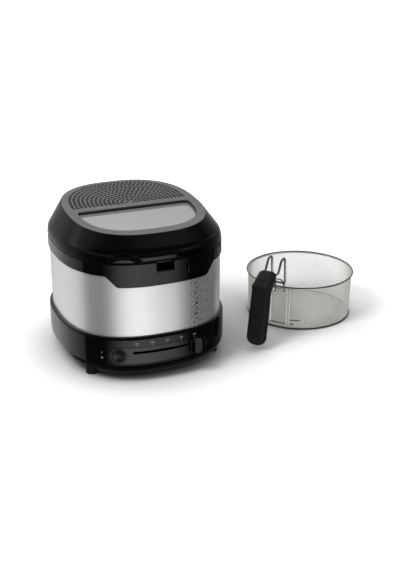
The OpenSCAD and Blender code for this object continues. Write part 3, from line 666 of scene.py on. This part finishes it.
def release_plane(wall, grow):
    """Outline of the release button on a wall, its lower right corner cut slanting."""
    x0, z0, x1, z1 = RELEASE
    r, slant = 9, 49.3
    x, z = join(arc(x1 - r, z1 - r, r + grow, 0, 90), arc(x0 + r, z1 - r, r + grow, 90, 180),
                arc(x0 + r, z0 + r, r + grow, 180, 270), arc(x1 - 10.2, z0 + 6, 6 + grow, 270, 270 + slant),
                arc(x1 - 6, z0 + 10.9, 6 + grow, 270 + slant, 360)).T
    return resample(pts(along(RELEASE_X) + x, wall.at(z)), 3)


band_wall = Wall([(BAND_GROW, z) for z in np.arange(BASE_TOP - 3, SEAM - 16.9, 5.3)] + [(BAND_GROW, SEAM - 17)])
# The band's upper edge dips round the release button
band_top = band_wall.v[-1]
dip = release_plane(band_wall, 1.6)
dip = dip[dip[:, 1] < band_top - 0.8]
dip = dip[np.argsort(np.arctan2(dip[:, 1] - band_top + 2, dip[:, 0] - along(RELEASE_X)))]
dip = join([[dip[0, 0], band_top]], dip, [[dip[-1, 0], band_top]])
piece(ring_sheet("steel_band_skin", band_wall, cuts_high=[dip], thick=0.8, radius=0.2), "body", "steel_brushed",
      "steel_band")

# The collar's skin goes over its top and down inside, to the deck
FASCIA, SKIRT, INNER_FOOT = SEAM - 38, SEAM - 20, 182
collar_rings = [(0, FASCIA), (0, 170), (0, SKIRT), (0, 190), (0, SEAM - 1), (-0.5, SEAM), (-4.5, SEAM),
                (-5, SEAM - 1), (-5, 190), (-5, INNER_FOOT)]
collar_wall = Wall(soften(collar_rings, 0.5))
collar_end = collar_wall.v[-1]
apron = join(arc(-93.2, SKIRT - 8, 8, 90, 40.7), arc(-70.3, FASCIA + 8, 8, 220.7, 270),
             arc(70.3, FASCIA + 8, 8, 270, 319.3), arc(93.2, SKIRT - 8, 8, 139.3, 90))
apron = resample(collar_wall.plane(apron), 3, closed=False)
notch_s = float(along(14.5))
notch_low, notch_high = collar_wall.at(DECK), collar_end - (DECK - INNER_FOOT)
notch = resample(np.array([[-notch_s, notch_low], [notch_s, notch_low], [notch_s, notch_high],
                           [-notch_s, notch_high]]), 2.5)
release_hole = release_plane(collar_wall, 0.8)
gap_left, gap_right = release_hole[:, 0].min() - 1.5, release_hole[:, 0].max() + 1.5
button_gap = np.array([[gap_left, collar_end], [gap_left, collar_end - 11], [gap_right, collar_end - 11],
                       [gap_right, collar_end]])
piece(ring_sheet("collar_skin", collar_wall, low=collar_wall.at(SKIRT), cuts_low=[apron],
                 cuts_high=[resample(button_gap, 2.5, closed=False)], holes=[release_hole, notch], thick=2.45,
                 radius=0.45, back=False), "body", "black_gloss", "collar", "collar_skirt")

button_wall = Wall([(0.8, 150), (0.8, 175), (0.8, 200)])
piece(plate("release_button_cap", button_wall, release_plane(button_wall, -0.5), thick=2.2, radius=0.9, step=(3, 5)),
      "lid_release", "black_gloss", "release_button")

# ------ lid

SLOPE = math.tan(TILT)


def lip(s, z):
    """Upright facet over the notch that the finger finds: it undoes the wall's lean there, with a slanted left end."""
    side = np.clip((s + 46 - (z - SEAM - 14) * -0.9) / 1.5, 0, 1) * np.clip((30 - s) / 14, 0, 1)
    lean = np.interp(z, [SEAM + 1.1, SEAM + 5.5, SEAM + 9, SEAM + 10.5, SEAM + 11.7], [0, 0.65, 1.6, 1.95, 0])
    return side * side * (3 - 2 * side) * (lean + 0.5 * np.clip((z - SEAM - 1.1) / 1.0, 0, 1) * (z < SEAM + 10.6))


lid_rings = [(-0.8, -0.8, SEAM + 0.4, 0), (0, 0, SEAM + 1.1, 0), (-0.5, -0.75, SEAM + 6.3, 0),
             (-1.1, -2.1, SEAM + 11, 0), (-2.7, -5.5, SEAM + 15.5, 0), (-5, -10.3, SEAM + 19.3, SLOPE / 7),
             (-22.9, -22.7, TOP - 1.3, SLOPE), (-23.9, -23.6, TOP, SLOPE), (-24.1, -24.1, TOP - 0.1, SLOPE),
             (-24.1, -24.1, TOP - 2.2, SLOPE), (-29, -29, TOP - 2.2, SLOPE)]
# Wide corners below, tight ones at the ledge of the top plate
LID_CUTS = [0.4, 2.2, 2.2, 2.2, 1.6, 0.9, 0.5, 0.15, 0.3]
lid_wall = Wall(soften(lid_rings, LID_CUTS, (0, 0.33, 0.67, 1)), lip)
FINGER_X, FINGER_Z, FINGER_R = -65, SEAM - 9, 24
finger_start = math.degrees(math.asin((SEAM + 0.4 - FINGER_Z) / FINGER_R))
finger_cut = lid_wall.plane(arc(FINGER_X, FINGER_Z, FINGER_R, 180 - finger_start, finger_start, 24))
finger_cut[[0, -1], 1] = lid_wall.v[0]
piece(ring_sheet("lid_shell_skin", lid_wall, cuts_low=[finger_cut], thick=2.4, radius=0.5,
                 back_high=float(lid_wall.at(SEAM + 17)), columns=320), "lid", "black_gloss", "lid_shell")

grip_wall = Wall([(-2.6, -2.6, SEAM - 2, 0), (-2.6, -2.6, SEAM + 6, 0), (-3.7, -4.7, SEAM + 10, 0),
                  (-5.7, -8.5, SEAM + 13.8, 0), (-8.1, -13.1, SEAM + 17, SLOPE / 7)])
insert = grip_wall.plane(arc(FINGER_X, FINGER_Z, FINGER_R + 0.9, 156, 24, 24))
piece(plate("finger_grip_insert", grip_wall, resample(insert[::-1], 3), thick=1.7, radius=0.3, step=(3, 3)), "lid",
      "black_gloss", "finger_grip")
rib_wall = Wall([(-0.5, -0.5, SEAM, 0), (-0.9, -1.0, SEAM + 6, 0), (-1.5, -2.4, SEAM + 11, 0)])


def bow(x0, x1, z0, z1, rise):
    """Shallow arch from one foot to the other."""
    t = np.linspace(0, 1, 30)
    return pts(x0 + (x1 - x0) * t, z0 + (z1 - z0) * t + rise * (1 - (2 * t - 1) ** 2) ** 0.8)


crescent = join(bow(-87.3, -43.2, SEAM + 0.9, SEAM + 1.6, 8.2),
                bow(-46.5, -81, SEAM + 1.3, SEAM + 0.9, 5.8))
piece(plate("finger_grip_rib", rib_wall, resample(rib_wall.plane(crescent[::-1]), 2), thick=1.6, radius=0.45,
            step=(3, 3)), "lid", "black_gloss")

top_wrap = Flat((0, 0, TOP), (1, 0, 0), (0, math.cos(TILT), math.sin(TILT)))
WINDOW_X = 95.5


def window_line(grow):
    """Outline of the window: straight at the back with round corners, and bowed round the front."""
    corner, back, half = 8 + grow, -3 + grow, WINDOW_X + grow
    front = pts(*oval(np.radians(np.linspace(188, 352, 90)), half, 104 + grow, 2.8))
    return resample(join(arc(half - corner, back - corner, corner, 0, 90),
                         arc(corner - half, back - corner, corner, 90, 180), front), 2.5)


VENT_ROWS, VENT_RADIUS = 14, 2.8
vents = []
for row in range(1, VENT_ROWS + 1):
    half = WINDOW_X * row / VENT_ROWS - 1
    count = 2 if row == 1 else round(3.14 * row)
    for x, y in zip(*oval(np.radians(np.linspace(0, 180, count + 1)), half, half * 1.045, 2.45)):
        vents.append(dot(x, y + 15, VENT_RADIUS, 18))
top_outline = pts(*oval(round_angles(256), HALF_X - 24.2, HALF_Y - 24.2))
piece(plate("lid_top_plate_stamped", top_wrap, top_outline, [window_line(0)] + vents, thick=2.2, radius=0.7,
            hole_radius=0.3), "lid", "grey_satin", "lid_top_plate")


def below_top(depth):
    return Flat(top_wrap.o - depth * top_wrap.n, top_wrap.x, top_wrap.y)


piece(plate("window_frame_moulding", below_top(2.25), window_line(2.4), [window_line(-0.4)], thick=2.75, radius=0.3,
            hole_radius=0.8), "lid", "black_matte", "window_frame")
piece(plate("viewing_window_pane", below_top(5.05), window_line(1.5), thick=2.9, radius=0.4), "lid", "window_glass",
      "viewing_window")

# ------ feet and gland

for number, (x, y) in enumerate([(-105, -82), (105, -82), (-105, 82), (105, 82)]):
    piece(lathe(f"rubber_foot_{number}", [(0, 0), (8.3, 0), (9.3, 1.2), (9.5, 5), (9.5, 19)],
                Matrix.Translation((x, y, 0)), cut=0.6), "body", "rubber_black",
          *(["rubber_feet"] if number == 0 else []))
gland_at = Matrix.Translation((60, 0, 32)) @ Matrix.Rotation(-math.pi / 2, 4, "X")
gland_ribs = [(3.9, 151.9), (3.9, 130.1), (7.7, 130.1), (7.7, 147.6), (10.3, 147.6), (10.3, 149.2), (9.3, 149.4),
              (9.3, 150.0), (10.3, 150.2), (10.3, 151.2), (9.6, 151.9), (4, 151.9)]
piece(lathe("cord_gland_ribbed", gland_ribs, gland_at, cut=0.3), "body", "black_matte", "cord_gland")

# ------ basket: woven wall and floor, rim, rails

WIRES, CROSSINGS = 132, 36


def wires(name, paths, radius, *nodes, slot="steel_wire", look=None, body="basket", **shape):
    return piece(tubes(name, paths, radius, **shape), body, slot, *nodes, look=look)


def weave_wall():
    """Two sets of wires that wind up the wall opposite ways, over and under each other."""
    m = np.arange(CROSSINGS)
    z = 1.7 + m * (77.6 / (CROSSINGS - 1))
    radius = 91.95 + (z - 1.8) * (1.6 / 77.2)
    paths = []
    for way in (1, -1):
        r = radius + way * 0.3 * (-1.0) ** m
        for k in range(WIRES):
            a = 2 * np.pi * k / WIRES + way * m * np.pi / WIRES
            paths.append(pts(r * np.cos(a), r * np.sin(a), z))
    return paths


def weave_floor():
    """Straight wires both ways across the floor, at 45 degrees to the fryer."""
    pitch, reach, turn = 2.69, 91.3, math.radians(45)
    ways = np.array([[math.cos(turn), math.sin(turn)], [-math.sin(turn), math.cos(turn)]])
    rows = int(reach / pitch)
    paths = []
    for axis in (0, 1):
        for k in range(-rows, rows + 1):
            half = int(math.sqrt(reach ** 2 - (k * pitch) ** 2) / pitch)
            m = np.arange(-half, half + 1)
            if half:
                plan = m[:, None] * pitch * ways[axis] + k * pitch * ways[1 - axis]
                paths.append(np.column_stack([plan, 2.4 + 0.3 * (-1.0) ** (m + k + axis)]))
    return paths


def circle(radius, z):
    return revolve(np.array([[radius, z]]), round_angles(160))[0]


wires("basket_wall_weave", weave_wall(), 0.37, "basket_mesh", slot="wire_mesh", sides=6, caps=False)
wires("basket_floor_weave", weave_floor(), 0.36, slot="wire_mesh", sides=5, caps=False)
# Rim and foot ring take the darker wire copy: painted shade
wires("basket_rim", [circle(95.9, 80.0)], 1.2, "basket_rim_wire", look="wire_painted_shade", closed=True, sides=16)
wires("basket_foot_ring", [circle(92.3, 1.4)], 1.35, "basket_base_ring", look="wire_painted_shade", closed=True, sides=16)
hem = [(93.7, 77.2), (94.3, 77.0), (94.5, 77.4), (94.7, 79.3), (94.3, 79.7), (93.8, 79.8)]
piece(lathe("basket_hem", hem, at=BASKET_AT, count=160, cut=0.2), "basket", "wire_mesh")


def handle_to_basket(points):
    """From the handle's frame (x along the rim, -y outward) to the basket's."""
    p = np.asarray(points, float)
    c, s = math.cos(HANDLE_TURN), math.sin(HANDLE_TURN)
    return pts(p[..., 0] * c + p[..., 1] * s, -p[..., 0] * s + p[..., 1] * c, p[..., 2])


def on_rim(x, z, reach):
    return np.array([x, -math.sqrt(reach ** 2 - x * x), z])


RAIL_REACH, RAIL_FOOT = 98.8, 11.5
rail = (15, 77.5), (15, RAIL_FOOT), (20, RAIL_FOOT), (20, 77.5)
rails, ties = [], [handle_to_basket([on_rim(x, RAIL_FOOT, 96.4) for x in np.linspace(-27, 27, 30)])]
for side in (-1, 1):
    rails.append(handle_to_basket(fillet([on_rim(side * x, z, RAIL_REACH) for x, z in rail], [2.4, 2.4])))
    ties.append(handle_to_basket([on_rim(side * x, 19.5, 98.0) for x in np.linspace(20, 38, 14)]))
# Rails take the lighter wire copy as painted highlight, the ties the darker one as painted shade
wires("basket_rails", rails, 1.4, "basket_side_rails", look="wire_painted_highlight", sides=14)
wires("basket_ties", ties, 0.9, "basket_tie_wires", look="wire_painted_shade")
# Bracket: two ears with the pivot's holes, and a bowed wire over it and one under it
BOW_HALF, PIVOT_REACH, PIVOT_Z = 11.5, 101, 90
bows = [handle_to_basket([(x, -104.6, z + rise * (1 - (abs(x) / BOW_HALF) ** 3))
                          for x in np.linspace(-BOW_HALF, BOW_HALF, 25)]) for z, rise in ((90.5, 6.5), (85.5, -5.5))]
wires("pivot_bows", bows, 1.1, "basket_bracket")
ear = resample(join(arc(PIVOT_REACH, PIVOT_Z, 3.7, -20, 165, 12),
                    [(97.5, 84), (98.2, 72), (100.3, 72), (100.5, 82)]), 2)
pivot_hole = dot(PIVOT_REACH, PIVOT_Z, 2.25, 20)
for number, x in enumerate((-7.2, 8.8)):
    wrap = Flat(handle_to_basket((x, 0, 0)), handle_to_basket((0, -1.0, 0)), (0, 0, 1))
    piece(plate(f"pivot_ear_{number}", wrap, ear, [pivot_hole], thick=1.6, radius=0.3, at=BASKET_AT), "basket",
          "steel_wire")

leg = [(-154, 120.5), (-134, 119.5), (-121, 139), (-105.5, 139), (-PIVOT_REACH, PIVOT_Z)]
hook = [(12, y, z) for y, z in leg] + [(-12, y, z) for y, z in leg[::-1]]
wires("handle_hooks", [handle_to_basket(fillet(hook, [5, 8.5, 8.5, 2.6, 2.6, 8.5, 8.5, 5]))], 2.0, "handle_wires",
      body="basket_handle", sides=18)

# Grip: a leaning bar with a cap that reaches back to the hook wires, found by rays from inside both
GRIP_TOP, GRIP_FOOT = np.array([0, -172.5, 116.0]), np.array([0, -195.5, 11.0])
GRIP_LENGTH = np.linalg.norm(GRIP_FOOT - GRIP_TOP)
GRIP_END = 9
grip_down = unit(GRIP_FOOT - GRIP_TOP)
grip_out = np.array([0, grip_down[2], -grip_down[1]])
CAP = [(12.3, 181.8, 108.8), (12.3, 182.2, 106.8), (12.2, 167.5, 100.8), (12.3, 152.5, 117.5), (12.4, 151.6, 122.8),
       (7.0, 150.9, 125)]


def round_hull(balls):
    """Search tree of the convex skin around balls of (centre, radius)."""
    skin = bmesh.new()
    for place, radius in balls:
        ball = bmesh.new()
        bmesh.ops.create_icosphere(ball, subdivisions=3, radius=radius, matrix=Matrix.Translation(place))
        for v in ball.verts:
            skin.verts.new(v.co)
        ball.free()
    found = bmesh.ops.convex_hull(skin, input=skin.verts[:])
    bmesh.ops.delete(skin, geom=list(set(found["geom_interior"])), context="VERTS")
    skin.normal_update()
    tree = BVHTree.FromBMesh(skin)
    skin.free()
    return tree


def grip_hulls():
    """The bar, with a wide round foot, and the cap."""
    bar = [(GRIP_TOP + grip_down * GRIP_END + np.array([x * 10.6, 0, 0]) + grip_out * y * 4, 5.0)
           for x in (-1, 1) for y in (-1, 1)]
    for a in np.radians([0, 22.5, 45, 67.5, 90]):
        foot = GRIP_FOOT + grip_down * (5.6 * math.sin(a) - 12.6)
        bar += [(foot + np.array([x * (3.4 + 5.6 * math.cos(a)), 0, 0]) + grip_out * y * 0.6, 8.4)
                for x in (-1, 1) for y in (-1, 1)]
    return round_hull(bar), round_hull([((side * x, -reach, z), 3.0) for x, reach, z in CAP for side in (-1, 1)])


def build_grip():
    hulls = grip_hulls()
    # Rays lie closer to each other at the parting line of the two halves
    fine = [side + d for side in (0, np.pi) for d in np.arange(-4, 5) * 0.015]
    turns = join(round_angles(144), fine)
    turns = np.unique(np.round(np.mod(turns, 2 * np.pi), 5))
    foot = GRIP_LENGTH - GRIP_END
    rows = [(GRIP_END, t) for t in np.linspace(0.03, np.pi / 2, 44)]
    rows += [(v, np.pi / 2) for v in (*np.arange(GRIP_END + 0.5, 24, 0.5), *np.arange(24, foot, 2.5))]
    rows += [(foot, t) for t in np.linspace(np.pi / 2, np.pi - 0.03, 26)]
    verts = []
    for v, polar in rows:
        origin = GRIP_TOP + grip_down * v
        for a in turns:
            way = (math.sin(polar) * (math.cos(a) * np.array([1.0, 0, 0]) + math.sin(a) * grip_out)
                   - math.cos(polar) * grip_down)
            far = 0
            for hull in hulls:
                place, normal, _, length = hull.ray_cast(Vector(origin), Vector(way))
                if place is not None and normal.dot(Vector(way)) > 0:
                    far = max(far, length)
            parting = (origin + way * far - GRIP_TOP) @ grip_out
            verts.append(origin + way * (far - 0.45 * math.exp(-(parting / 0.35) ** 2)))
    verts, count = np.array(verts), len(turns)
    last = len(verts) - count
    ends = [verts[:count].mean(0), verts[-count:].mean(0)]
    j = np.arange(count)
    k = (j + 1) % count
    fans = join(pts(np.full(count, len(verts)), j, k),
                pts(np.full(count, len(verts) + 1), last + k, last + j))
    obj = obj_from("grip_moulding", handle_to_basket(join(verts, ends)),
                   [strip(len(rows), count, flip=True), fans], at=BASKET_AT)
    obj.data.set_sharp_from_angle(angle=math.radians(50))
    return obj


piece(build_grip(), "basket_handle", "black_matte", "grip_outer", "grip_inner")

# ------ printing: scale, marks and pictograms

PRINT_LIFT = 0.05


def printed(name, wall, shapes, slot, look):
    """Flat printed shapes in (s, v) of the wall, lifted a hair off it."""
    sheet = Sheet(wall)
    for shape in shapes:
        sheet.fill(shape, depth=-PRINT_LIFT)
    return piece(sheet.build(name), "body", slot, look=look)


def digits(name, text, size, x, z):
    """Numbers or a plain mark, centred at a place on the base's front."""
    curve = bpy.data.curves.new(name + "_text", "FONT")
    curve.body, curve.size, curve.align_x, curve.align_y = text, size, "CENTER", "CENTER"
    source = add_object(name + "_text", curve)
    bpy.context.view_layer.update()
    mesh = bpy.data.meshes.new_from_object(source.evaluated_get(bpy.context.evaluated_depsgraph_get()))
    bpy.data.objects.remove(source)
    bpy.data.curves.remove(curve)
    sheet = Sheet(base_mark)
    sheet.add(np.array([v.co[:2] for v in mesh.vertices]) + base_mark.plane([(x, z)]), -PRINT_LIFT)
    sheet.faces = [np.array([list(f.vertices)]) for f in mesh.polygons]
    bpy.data.meshes.remove(mesh)
    return piece(sheet.build(name), "body", "grey_satin", look="print_light")


def bar(x0, z0, x1, z1, half):
    a, b = np.array([x0, z0], float), np.array([x1, z1], float)
    d = unit(b - a)
    n = np.array([-d[1], d[0]]) * half
    return np.array([a - n, b - n, b + n, a + n])


SCALE = [(-48, 150), (-24.7, 160), (-1, 170), (23, 180), (46, 190)]
base_mark = Wall([(BASE_GROW, 20), (BASE_GROW, 74)])
printed("scale_dots", base_mark, [dot(*base_mark.plane([(x, 63.6)])[0], 0.6) for x, _ in SCALE], "grey_satin",
        "print_light")
for x, number in SCALE:
    digits(f"scale_{number}", str(number), 4.0, x, 67.7)
digits("mark_on", "I", 4.6, -96.5, 51.5)
digits("mark_off", "O", 4.6, -96.5, 42.5)


def pictogram(kind, x, z):
    """Generic picture of a food, about 8 mm wide."""
    if kind == "sticks":
        return [bar(x - 2.8 + i * 1.9, z - 2.6, x - 3.6 + i * 2.4, z + 2.8, 0.55) for i in range(4)]
    if kind == "leg":
        return [dot(x + 1.2, z + 0.9, 2.5, 20), bar(x - 0.4, z - 0.7, x - 3.0, z - 2.7, 0.5),
                dot(x - 3.2, z - 2.3, 0.7), dot(x - 2.7, z - 3.1, 0.7)]
    if kind == "ring":
        return [join(arc(x, z, 2.9, 0, 340, 24), arc(x, z, 1.9, 340, 0, 24))]
    return [join(arc(x, z, 3.0, 20, 250, 20), arc(x + 0.6, z - 0.3, 1.7, 250, 20, 20))]


def frame_mark(x, z):
    """Thin oval frame round a pictogram, open below."""
    a = np.radians(np.linspace(-84, 262, 40))
    outer, inner = (pts(x + (10.5 - w) * np.cos(a), z + (6.6 - w) * np.sin(a)) for w in (0, 0.55))
    return join(outer, inner[::-1])


marks = []
for i, kind in enumerate(["ring", "prawn", "leg", "sticks"]):
    z = 151.5 - 17.4 * i
    marks += pictogram(kind, 54, z) + [frame_mark(54, z)]
    marks += [dot(53.4, z - 8.4, 1.05), dot(57.2, z - 8.1, 1.05), bar(53.4, z - 8.4, 57.2, z - 8.1, 0.4)]
    marks += [bar(73, z - 2, 78.5, z - 1.6, 0.45), dot(70.5, z + 3.5, 0.5)]
marks += [dot(50, 85.6, 1.5), dot(61.6, 86.4, 1.3), bar(50, 85.6, 61.6, 86.4, 0.6)]
printed("food_pictograms", band_wall, [band_wall.plane(mark) for mark in marks], "steel_brushed", "print_dark")

# ------ CAD nodes that stay: materials and eased edges

slot_of = {p["node"]: p["material_slot"] for p in frame["record"]["subparts"]}
EASED = {0.15: "latch_catch", 0.4: "bowl filter_tray base_plate", 0.5: "inner_pan thermostat_body switch_body",
         0.3: "deck_plate latch_hook heater_bracket grip_screws lid_screws base_screws",
         0.6: "hinge_bracket lid_hinge_arm terminal_block"}
ease_of = {node: width for width, nodes in EASED.items() for node in nodes.split()}
for name, obj in NODES.items():
    if obj.hide_render:
        continue
    obj.data.materials.clear()
    obj.data.materials.append(MATS["black_matte" if name in ("latch_hook", "button_plunger") else slot_of[name]])
    obj.modifiers.new("weld", "WELD").merge_threshold = 2e-6
    if name in ease_of:
        ease = obj.modifiers.new("ease", "BEVEL")
        ease.width, ease.segments, ease.limit_method = ease_of[name] * MM, 2, "ANGLE"
        ease.angle_limit = math.radians(38)
        ease.harden_normals = True
    obj.data.polygons.foreach_set("use_smooth", np.ones(len(obj.data.polygons), bool))
    obj.data.set_sharp_from_angle(angle=math.radians(35))

# ------ floor, light and camera

scene = bpy.context.scene
aim = Vector(BODY_AT * MM) + Vector((0.11925, 0, 0.08566))
AZIMUTH, ELEVATION, DISTANCE = math.radians(-23.03), math.radians(21.85), 1.624
back = Vector((math.sin(AZIMUTH) * math.cos(ELEVATION), -math.cos(AZIMUTH) * math.cos(ELEVATION),
               math.sin(ELEVATION)))
camera = add_object("camera", bpy.data.cameras.new("camera"))
camera.location = aim + back * DISTANCE
camera.rotation_euler = back.to_track_quat("Z", "Y").to_euler()
camera.data.lens, camera.data.sensor_width = 58.96, 36
scene.camera = camera

# Floor that rises into a backdrop far away. Only the camera sees it: reflections see the studio's pattern
dish = soften([(0, -0.05), (2500, -0.05), (4200, 60), (5600, 700), (6200, 2200), (6300, 5200)], 600)
floor = obj_from("studio_floor", revolve(dish, round_angles(96)).reshape(-1, 3),
                 [strip(len(dish), 96, flip=True)])
tree, shader = new_material("studio_white")
floor.data.materials.append(MATS["studio_white"])
# The floor glows away from the object, so that it stays white into the distance
away = add_node(tree, "ShaderNodeVectorMath", add_node(tree, "ShaderNodeTexCoord").outputs["Object"],
                operation="LENGTH").outputs["Value"]
glow = map_range(tree, away, 0.34, 0.7, 0.0, 0.6, interpolation_type="SMOOTHSTEP")
# and is painted darker where the object closes it in: a painted contact shadow in its colour, on top of its real
# shadow
closed_in = add_node(tree, "ShaderNodeAmbientOcclusion", samples=16, Distance=0.11).outputs["AO"]
painted_contact_shadow = mix_colours(tree, math_node(tree, "POWER", closed_in, 0.85), (0, 0, 0, 1), (0.93, 0.93, 0.93, 1))
set_inputs(tree, shader, {"Base Color": painted_contact_shadow, "Roughness": 0.9, "Specular IOR Level": 0.0,
                          "Emission Color": (1, 1, 1, 1), "Emission Strength": glow})
floor.visible_glossy = floor.visible_diffuse = floor.visible_transmission = floor.visible_shadow = False

# The studio: plain light for dull surfaces, and a pattern of directions for glossy ones
world = bpy.data.worlds.new("studio")
scene.world = world
world.use_nodes = True
world.cycles.sampling_method = "NONE"
tree = world.node_tree
direction = add_node(tree, "ShaderNodeSeparateXYZ", add_node(tree, "ShaderNodeTexCoord").outputs["Generated"]).outputs
to_front = math_node(tree, "MULTIPLY", direction["Y"], -1.0)
turned_by = math_node(tree, "MULTIPLY_ADD", math_node(tree, "ARCTAN2", direction["X"], to_front), 0.5 / math.pi, 0.5)
elevation = math_node(tree, "MULTIPLY", math_node(tree, "ARCSINE", direction["Z"]), 180 / math.pi)
BRIGHTEST = 2.0


def pattern(stops):
    """Brightness round the horizon, from degrees away from the front, negative to the left."""
    ramp = add_node(tree, "ShaderNodeValToRGB", turned_by)
    e = ramp.color_ramp.elements
    while len(e) > 1:
        e.remove(e[0])
    for k, (angle, value) in enumerate(stops):
        place = (angle + 180) / 360
        stop = e[0] if k == 0 else e.new(place)
        stop.position = place
        stop.color = (*[value / BRIGHTEST] * 3, 1)
    value = add_node(tree, "ShaderNodeSeparateColor", ramp.outputs[0]).outputs[0]
    return math_node(tree, "MULTIPLY", value, BRIGHTEST)


low = pattern([(-180, .6), (-172, .7), (-150, .76), (-120, .68), (-105, .48), (-102, .06), (-85, .05), (-62, .05),
               (-48, .42), (-36, 1.1), (-24, 1.65), (-13, 1.9), (-4, 2), (4, 1.9), (11, 1.8), (17, 1.6), (20, 1.45),
               (27, .9), (33, .4), (41, .06), (50, .03), (83, .04), (91, .05), (121, .08), (133, .14), (144, .18),
               (151, .06), (164, .06), (180, .6)])
mid = pattern([(-180, .42), (-151, .36), (-120, .32), (-95, .1), (-60, .01), (0, .01), (60, .01), (90, .1),
               (127, .25), (155, .45), (180, .5)])
high = pattern([(-180, 1.9), (-150, 1.6), (-122, .4), (-90, .25), (-45, .25), (0, .25), (45, .3), (70, .15),
                (88, .05), (112, .05), (130, .8), (155, 1.9), (180, 1.9)])
UNDERFOOT, OVERHEAD = 0.06, 0.03
DULL_LIGHT = (0.8, 0.8, 0.8, 1)


def change(start, end, below, above):
    """One brightness below an elevation in degrees, and another above it."""
    share = map_range(tree, elevation, start, end, interpolation_type="SMOOTHSTEP")
    return math_node(tree, "MULTIPLY_ADD", math_node(tree, "SUBTRACT", above, below), share, below)


level = change(-18.6, -14, low, mid)
level = change(-40, -27, UNDERFOOT, level)
level = change(18, 32, level, high)
level = change(42, 58, level, OVERHEAD)
glossy_light = add_node(tree, "ShaderNodeCombineColor", level, level, level).outputs[0]
is_glossy = add_node(tree, "ShaderNodeLightPath").outputs["Is Glossy Ray"]
set_inputs(tree, tree.nodes["Background"], {"Color": mix_colours(tree, is_glossy, DULL_LIGHT, glossy_light)})

key = bpy.data.lights.new("key_softbox", "AREA")
key.shape, key.size, key.energy = "DISK", 0.9, 34
light = add_object("key_softbox", key)
light.location = (-1.35, -0.45, 1.75)
light.rotation_euler = (light.location - aim).to_track_quat("Z", "Y").to_euler()
light.visible_glossy = light.visible_camera = False
scene.view_settings.view_transform = "Standard"
